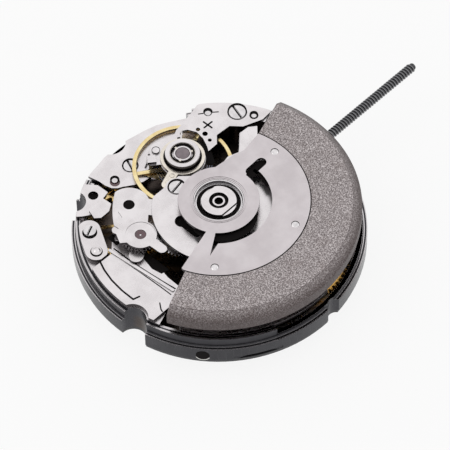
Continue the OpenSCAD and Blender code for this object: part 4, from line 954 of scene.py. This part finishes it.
class MOVEMENT_OT_bridges(bpy.types.Operator):
    """Bridges and side plates with broken edges, scribed lines and marks"""
    bl_idname = "movement.bridges"
    bl_label = "Bridges"

    def execute(self, context):
        edge = settings("movement_plates").edge / MM
        for node in ("train_bridge", "barrel_bridge", "escape_bridge", "pallet_bridge", "centre_bridge",
                     "side_plates", "reverser_bridge", "balance_cock"):
            piece = node_copy(node, node + "_piece")
            soften(piece, edge, 2, 45)
            for tool in getattr(self, node, list)():
                cut(piece, tool)
            settle(piece, "root", "nickel_plate", stands_for=(node,))
        disc = pillar("automatic_disc_piece", (0, 0), 5.87, 4.7, 5.0, 200)
        cut(disc, prism("tool", [(-8, 4.9), (-0.1, 4.9), (1.4, 3.4), (5.4, 3.0), (7, 2.6), (9, 2.6),
                                 (9, 9), (-8, 9)], 4, 6))
        weld(disc, pillar("tool", (-1.05, 4.15), 1.0, 4.7, 5.0, 64))
        cut(disc, pillar("tool", (0, 0), 2.2, 4, 6, 128), pillar("tool", (-3.34, 1.23), 0.6, 4, 6, 48),
            strip("tool", (-3.37, 1.0), (-3.37, -0.64), 0.75, 4, 6),
            pillar("tool", INTERMEDIATE, 0.1, 4.6, 4.9, 24), pillar("tool", (-3.3, -3.5), 0.1, 4.6, 4.9, 24),
            pillar("tool", (-1.05, 4.15), 0.81, 4.8, 6, 64), pillar("tool", (-1.05, 4.15), 0.2, 4, 6, 24))
        soften(disc, edge, 2, 45)
        settle(disc, "root", "nickel_plate", stands_for=("automatic_bridge",))
        wing = prism("bridge_wing", [(6.62, 4.07), (7.60, 4.97), (8.64, 4.91), (9.29, 4.40), (8.5, 3.6),
                                     (7.0, 3.3)], 3.68, 3.85)
        soften(wing, edge, 2, 45)
        settle(wing, "root", "nickel_plate")
        pad = weld(strip("disc_slot_shade", (-3.37, 1.0), (-3.37, -0.64), 0.74, 4.71, 4.74),
                   pillar("tool", (-3.34, 1.23), 0.59, 4.71, 4.74, 48))
        settle(pad, "root", "dark_nickel", "shade")
        return {"FINISHED"}

    def train_bridge(self):
        """The tip tube steps down inside the nut's recess."""
        return [turned("tool", [(0.54, 5.785), (0.79, 5.785), (0.79, 7), (0.54, 7)], steps=64),
                turned("tool", [(0, 5.88), (0.79, 5.88), (0.79, 7), (0, 7)], steps=64)]

    def reverser_bridge(self):
        """Scribed lines, the small sunk facet and the turned ring round the reverser's jewel."""
        ring = turned("tool", [(1.28, 4.66), (1.33, 4.66), (1.33, 4.9), (1.28, 4.9)], REVERSER, -35, 170, 48)
        facet = prism("tool", [(-6.31, 6.12), (-7.41, 4.75), (-6.52, 5.40)], 4.64, 4.9)
        return [strip("tool", (-8.2, 5.55), (-6.5, 7.32), 0.08, 4.62, 4.9),
                strip("tool", (-7.71, 5.84), (-7.61, 4.80), 0.07, 4.62, 4.9), facet, ring]

    def balance_cock(self):
        """The generic cross mark and a scribed tail on each side of the pin's hole."""
        return [strip("tool", start, end, width, 3.70, 3.9) for start, end, width in COCK_MARKS]


class MOVEMENT_OT_balance(bpy.types.Operator):
    """Balance wheel, its staff's roller and the hairspring"""
    bl_idname = "movement.balance"
    bl_label = "Balance"

    def execute(self, context):
        values = settings("movement_balance")
        radius, rim = values.radius / MM, values.rim / MM
        wheel = turned("balance_wheel_piece", [
            (radius - rim, 3.02), (radius - rim + 0.03, 3.0), (radius - 0.04, 3.0), (radius, 3.04),
            (radius, 3.26), (radius - 0.04, 3.3), (radius - rim + 0.04, 3.3), (radius - rim, 3.27)],
            BALANCE, steps=192)
        arms = []
        for number in range(3):
            end = polar(radius - rim / 2, 25 + number * 120)
            root = polar(0.3, 25 + number * 120)
            arms.append(strip("tool", (BALANCE[0] + root[0], BALANCE[1] + root[1]),
                              (BALANCE[0] + end[0], BALANCE[1] + end[1]), 0.40, 3.02, 3.14))
        hub = turned("tool", [(0.2, 3.02), (0.7, 3.02), (0.7, 3.12), (0.66, 3.14), (0.2, 3.14)], BALANCE, steps=64)
        weld(wheel, *arms)
        cut(wheel, pillar("tool", BALANCE, 0.5, 2.9, 3.4, 48))
        weld(wheel, hub)
        soften(wheel, 0.02, 2, 50)
        settle(wheel, "balance", "gilt_brass", "bright_gilt", stands_for=("balance_wheel",))
        self.hairspring(values)
        return {"FINISHED"}

    def hairspring(self, values):
        """A flat spiral blade from the collet to the stud."""
        reach = math.dist(STUD, BALANCE) - 0.06
        heading = math.atan2(STUD[1] - BALANCE[1], STUD[0] - BALANCE[0])
        count = values.turns * 48
        first = 0.44
        curve = bpy.data.curves.new("hairspring_piece", "CURVE")
        curve.dimensions = "3D"
        spline = curve.splines.new("POLY")
        spline.points.add(count)
        for number in range(count + 1):
            share = number / count
            radius = first + (reach - first) * share
            angle = heading + share * values.turns * 2 * math.pi
            spline.points[number].co = (BALANCE[0] + radius * math.cos(angle),
                                        BALANCE[1] + radius * math.sin(angle), 3.46, 1)
        curve.extrude = 0.055
        piece = bpy.data.objects.new("hairspring_piece", curve)
        bpy.context.scene.collection.objects.link(piece)
        pick(piece)
        bpy.ops.object.convert(target="MESH")
        piece = bpy.context.object
        wall = piece.modifiers.new("Blade", "SOLIDIFY")
        wall.thickness = values.blade / MM
        wall.offset = 0
        apply_modifier(piece, wall)
        settle(piece, "stud", "blued_steel", stands_for=("hairspring",))


class MOVEMENT_OT_regulator(bpy.types.Operator):
    """Stud holder, regulator and the shock setting with its jewel"""
    bl_idname = "movement.regulator"
    bl_label = "Regulator and shock setting"

    def execute(self, context):
        for node, body, slot, look in (("stud_holder", "stud", "nickel_plate", "nickel_plate"),
                                       ("regulator_arm", "regulator", "gilt_brass", "pale_gilt")):
            piece = node_copy(node, node + "_piece")
            soften(piece, 0.03, 2, 45)
            settle(piece, body, slot, look, stands_for=(node,))
        setting = turned("shock_setting_piece", [
            (0.12, 4.05), (1.55, 4.05), (1.55, 5.15), (1.50, 5.2), (1.20, 5.2), (1.15, 5.16), (1.15, 4.9),
            (0.5, 4.9), (0.5, 4.35), (0.12, 4.35)], BALANCE, steps=128)
        settle(setting, "root", "nickel_plate", stands_for=("shock_setting",))
        jewel = turned("cap_jewel_piece", [
            (0, 4.5), (0.49, 4.5), (0.49, 4.9), (0.60, 4.9), (0.62, 4.92), (0.62, 5.06), (0.58, 5.11),
            (0.45, 5.145), (0.25, 5.16), (0, 5.165)], BALANCE, steps=96)
        settle(jewel, "root", "ruby", "cap_ruby", stands_for=("cap_jewel",))
        ring = turned("shock_ring_piece", [(0.645, 4.92), (0.80, 4.92), (0.80, 5.10), (0.77, 5.13),
                                           (0.67, 5.13), (0.645, 5.10)], BALANCE, steps=96)
        settle(ring, "root", "nickel_plate")
        spring = node_copy("shock_spring", "shock_spring_piece")
        soften(spring, 0.015, 2, 45)
        settle(spring, "root", "gilt_brass", "pale_gilt", stands_for=("shock_spring",))
        return {"FINISHED"}


class MOVEMENT_OT_screws(bpy.types.Operator):
    """Softened screws, painted shade on their slot floors and in the gaps round their heads, and the pins in holes"""
    bl_idname = "movement.screws"
    bl_label = "Screws"

    def execute(self, context):
        width = settings("movement_plates").slot / MM
        for node, body in (("screws", "root"), ("ratchet_screw", "barrel_arbor")):
            piece = node_copy(node, node + "_piece")
            soften(piece, 0.02, 2, 50)
            settle(piece, body, "polished_steel", stands_for=(node,))
        for name, place, top, radius, height, turn in SCREWS:
            # Painted shade: a dark strip at the floor of each screw's slot
            floor = prism("slot", [(-radius + 0.03, -width * 0.32), (radius - 0.03, -width * 0.32),
                                   (radius - 0.03, width * 0.32), (-radius + 0.03, width * 0.32)],
                          -height * 0.56, -height * 0.40)
            piece = copied(floor, name + "_slot", (*place, top), turn)
            bpy.data.objects.remove(floor, do_unlink=True)
            settle(piece, "root", "dark_nickel", "shade")
        # Painted shade rings round screw heads, pins and jewel settings
        for number, (place, top, inner, outer, shift) in enumerate(GAP_SHADES):
            middle = (place[0] + shift * FAR[0], place[1] + shift * FAR[1])
            gap_shade = pillar(f"gap_{number + 1}", middle, outer, top - 0.06, top)
            cut(gap_shade, pillar("tool", place, inner, top - 1, top + 1))
            settle(gap_shade, "root", "dark_nickel", "shade")
        # Painted shade on the floors of the scribed marks
        for number, (start, end, width) in enumerate(COCK_MARKS):
            floor = strip(f"cock_mark_shade_{number + 1}", start, end, width - 0.03, 3.69, 3.765)
            settle(floor, "root", "dark_nickel", "shade")
        under = turned("balance_shade", [(2.08, 3.585), (2.78, 3.585), (2.78, 3.61), (2.08, 3.61)],
                       BALANCE, -48, 104, 48)
        settle(under, "root", "dark_nickel", "shade")
        # Painted shade: dark lines laid on the side plates
        for number, (corners, width) in enumerate(SIDE_LINES):
            line = polyline(f"side_line_{number + 1}", corners, width, SIDE_TOP - 0.04, SIDE_TOP + 0.006)
            settle(line, "root", "dark_nickel", "shade")
        # Painted shadow: dark pads on the side plates
        for number, corners in enumerate(SIDE_SHADOWS):
            shadow_pad = prism(f"side_shadow_{number + 1}", corners, SIDE_TOP - 0.04, SIDE_TOP + 0.004)
            settle(shadow_pad, "root", "dark_nickel", "shade")
        # Painted shade: a dark plug in each side hole, with a white crescent of painted highlight along its lower edge
        for number, angle in enumerate((-141.7, 38.3)):
            plug = turned(f"side_hole_{number + 1}", [(0, -0.02), (0.60, -0.02), (0.60, 0.02), (0, 0.02)], steps=64)
            glint = turned(f"side_hole_glint_{number + 1}", [(0.57, 0), (0.67, 0), (0.66, 0.03), (0.58, 0.03)],
                           start=-65, sweep=130, steps=48)
            for piece, slot, look in ((plug, "dark_nickel", "shade"), (glint, "polished_steel", "white_enamel")):
                piece.matrix_world = Matrix.Translation((*polar(13.0, angle), 1.05)) @ Matrix.Rotation(
                    math.radians(angle), 4, "Z") @ Matrix.Rotation(math.pi / 2, 4, "Y")
                settle(placed(piece), "root", slot, look)
        for name, place, bottom, top, radius, slot, look in PINS:
            pin = turned(name, [(0, bottom), (radius, bottom), (radius, top - 0.02), (radius - 0.02, top), (0, top)],
                         place, steps=48)
            settle(pin, "root", slot, look)
        return {"FINISHED"}


class MOVEMENT_OT_jewels(bpy.types.Operator):
    """Domed faces of the two jewels in the reverser bridge"""
    bl_idname = "movement.jewels"
    bl_label = "Jewels"

    def execute(self, context):
        # Painted shade: the fourth wheel's jewel face is a near-black disc
        dark = turned("fourth_jewel_face", [(0, 4.60), (0.5, 4.60), (0.5, 4.63), (0.42, 4.66), (0, 4.665)],
                      FOURTH, steps=64)
        settle(dark, "root", "ruby", "shade")
        face = turned("reverser_jewel_face", [
            (0.14, 4.60), (0.5, 4.60), (0.5, 4.645), (0.46, 4.67), (0.30, 4.67), (0.20, 4.63), (0.14, 4.62)],
            REVERSER, steps=64)
        settle(face, "root", "ruby")
        return {"FINISHED"}


class MOVEMENT_OT_stem(bpy.types.Operator):
    """Winding stem whose thread is a real helix"""
    bl_idname = "movement.stem"
    bl_label = "Winding stem"

    def execute(self, context):
        pitch = settings("movement_plates").pitch / MM
        stem = node_copy("winding_stem", "winding_stem_piece")
        cut(stem, prism("tool", [(13.3, -1), (26, -1), (26, 1), (13.3, 1)], 1, 3))
        core = turned("core", [(0, 0), (0.34, 0), (0.34, 11.70), (0.28, 11.80), (0, 11.80)], steps=48)
        ridge = outline("ridge", [(0.30, 0, 0.02), (0.45, 0, 0.095), (0.45, 0, 0.165), (0.30, 0, 0.24)])
        bpy.ops.object.mode_set(mode="OBJECT")
        helix = ridge.modifiers.new("Thread", "SCREW")
        helix.axis = "Z"
        helix.screw_offset = pitch
        helix.iterations = int(11.5 / pitch)
        helix.steps = helix.render_steps = 24
        apply_modifier(ridge, helix)
        bpy.ops.object.mode_set(mode="EDIT")
        bpy.ops.mesh.select_all(action="DESELECT")
        bpy.ops.mesh.select_non_manifold(use_wire=False, use_multi_face=False,
                                         use_non_contiguous=False, use_verts=False)
        bpy.ops.mesh.fill_holes(sides=0)
        close_up()
        thread = join(ridge, core)
        thread.matrix_world = Matrix.Translation((13.19, 0, 2.0)) @ Matrix.Rotation(math.pi / 2, 4, "Y")
        pick(thread)
        bpy.ops.object.transform_apply(location=True, rotation=True, scale=True)
        settle(join(stem, thread), "winding_stem", "polished_steel", "stem_thread", ("winding_stem",))
        return {"FINISHED"}


class MOVEMENT_OT_numerals(bpy.types.Operator):
    """The 31 printed day numerals on the underside of the date ring"""
    bl_idname = "movement.numerals"
    bl_label = "Date numerals"

    def execute(self, context):
        printed = []
        for day in range(1, 32):
            deselect()
            bpy.ops.object.text_add()
            label = context.object
            label.data.body = str(day)
            label.data.align_x, label.data.align_y = "CENTER", "CENTER"
            label.data.size = 1.25
            label.data.extrude = 0.004
            angle = math.radians(180 + (day - 1) * 360 / 31)
            place = Matrix.Translation((10.75 * math.cos(angle), 10.75 * math.sin(angle), 0.158))
            label.matrix_world = place @ Matrix.Rotation(angle, 4, "Z") @ Matrix.Rotation(math.pi, 4, "X") \
                @ Matrix.Rotation(math.pi, 4, "Z")
            bpy.ops.object.convert(target="MESH")
            bpy.ops.object.transform_apply(location=True, rotation=True, scale=True)
            bpy.ops.object.mode_set(mode="EDIT")
            close_up(0.0002)
            printed.append(context.object)
        sheet = join(*printed)
        sheet.name = sheet.data.name = "date_numerals"
        settle(sheet, "date_ring", "white_enamel", "print_ink")
        return {"FINISHED"}


class MOVEMENT_OT_panel_views(bpy.types.Panel):
    """Pieces of the movement"""
    bl_idname = "MOVEMENT_PT_pieces"
    bl_label = "Movement"
    bl_space_type = "VIEW_3D"
    bl_region_type = "UI"
    bl_category = "Movement"

    def draw(self, context):
        for operator in OPERATORS:
            self.layout.operator(operator.bl_idname)
        for group in SETTINGS:
            values = settings(group)
            for key in values.__annotations__:
                self.layout.prop(values, key)


OPERATORS = (
    MOVEMENT_OT_stage, MOVEMENT_OT_frame_finishes, MOVEMENT_OT_casing_band, MOVEMENT_OT_rotor,
    MOVEMENT_OT_bearing, MOVEMENT_OT_bridges, MOVEMENT_OT_balance, MOVEMENT_OT_regulator,
    MOVEMENT_OT_screws, MOVEMENT_OT_jewels, MOVEMENT_OT_stem, MOVEMENT_OT_numerals,
)
SETTINGS = {
    "movement_stage": StageSettings,
    "movement_rotor": RotorSettings,
    "movement_balance": BalanceSettings,
    "movement_plates": PlateSettings,
}


def register():
    for group in (*SETTINGS.values(), *OPERATORS, MOVEMENT_OT_panel_views):
        bpy.utils.register_class(group)
    for name, group in SETTINGS.items():
        setattr(bpy.types.Scene, name, PointerProperty(type=group))


def unregister():
    for name in SETTINGS:
        delattr(bpy.types.Scene, name)
    for group in (MOVEMENT_OT_panel_views, *OPERATORS, *SETTINGS.values()):
        bpy.utils.unregister_class(group)


def main():
    register()
    for operator in OPERATORS:
        group, action = operator.bl_idname.split(".")
        getattr(getattr(bpy.ops, group), action)()


if __name__ == "__main__":
    main()
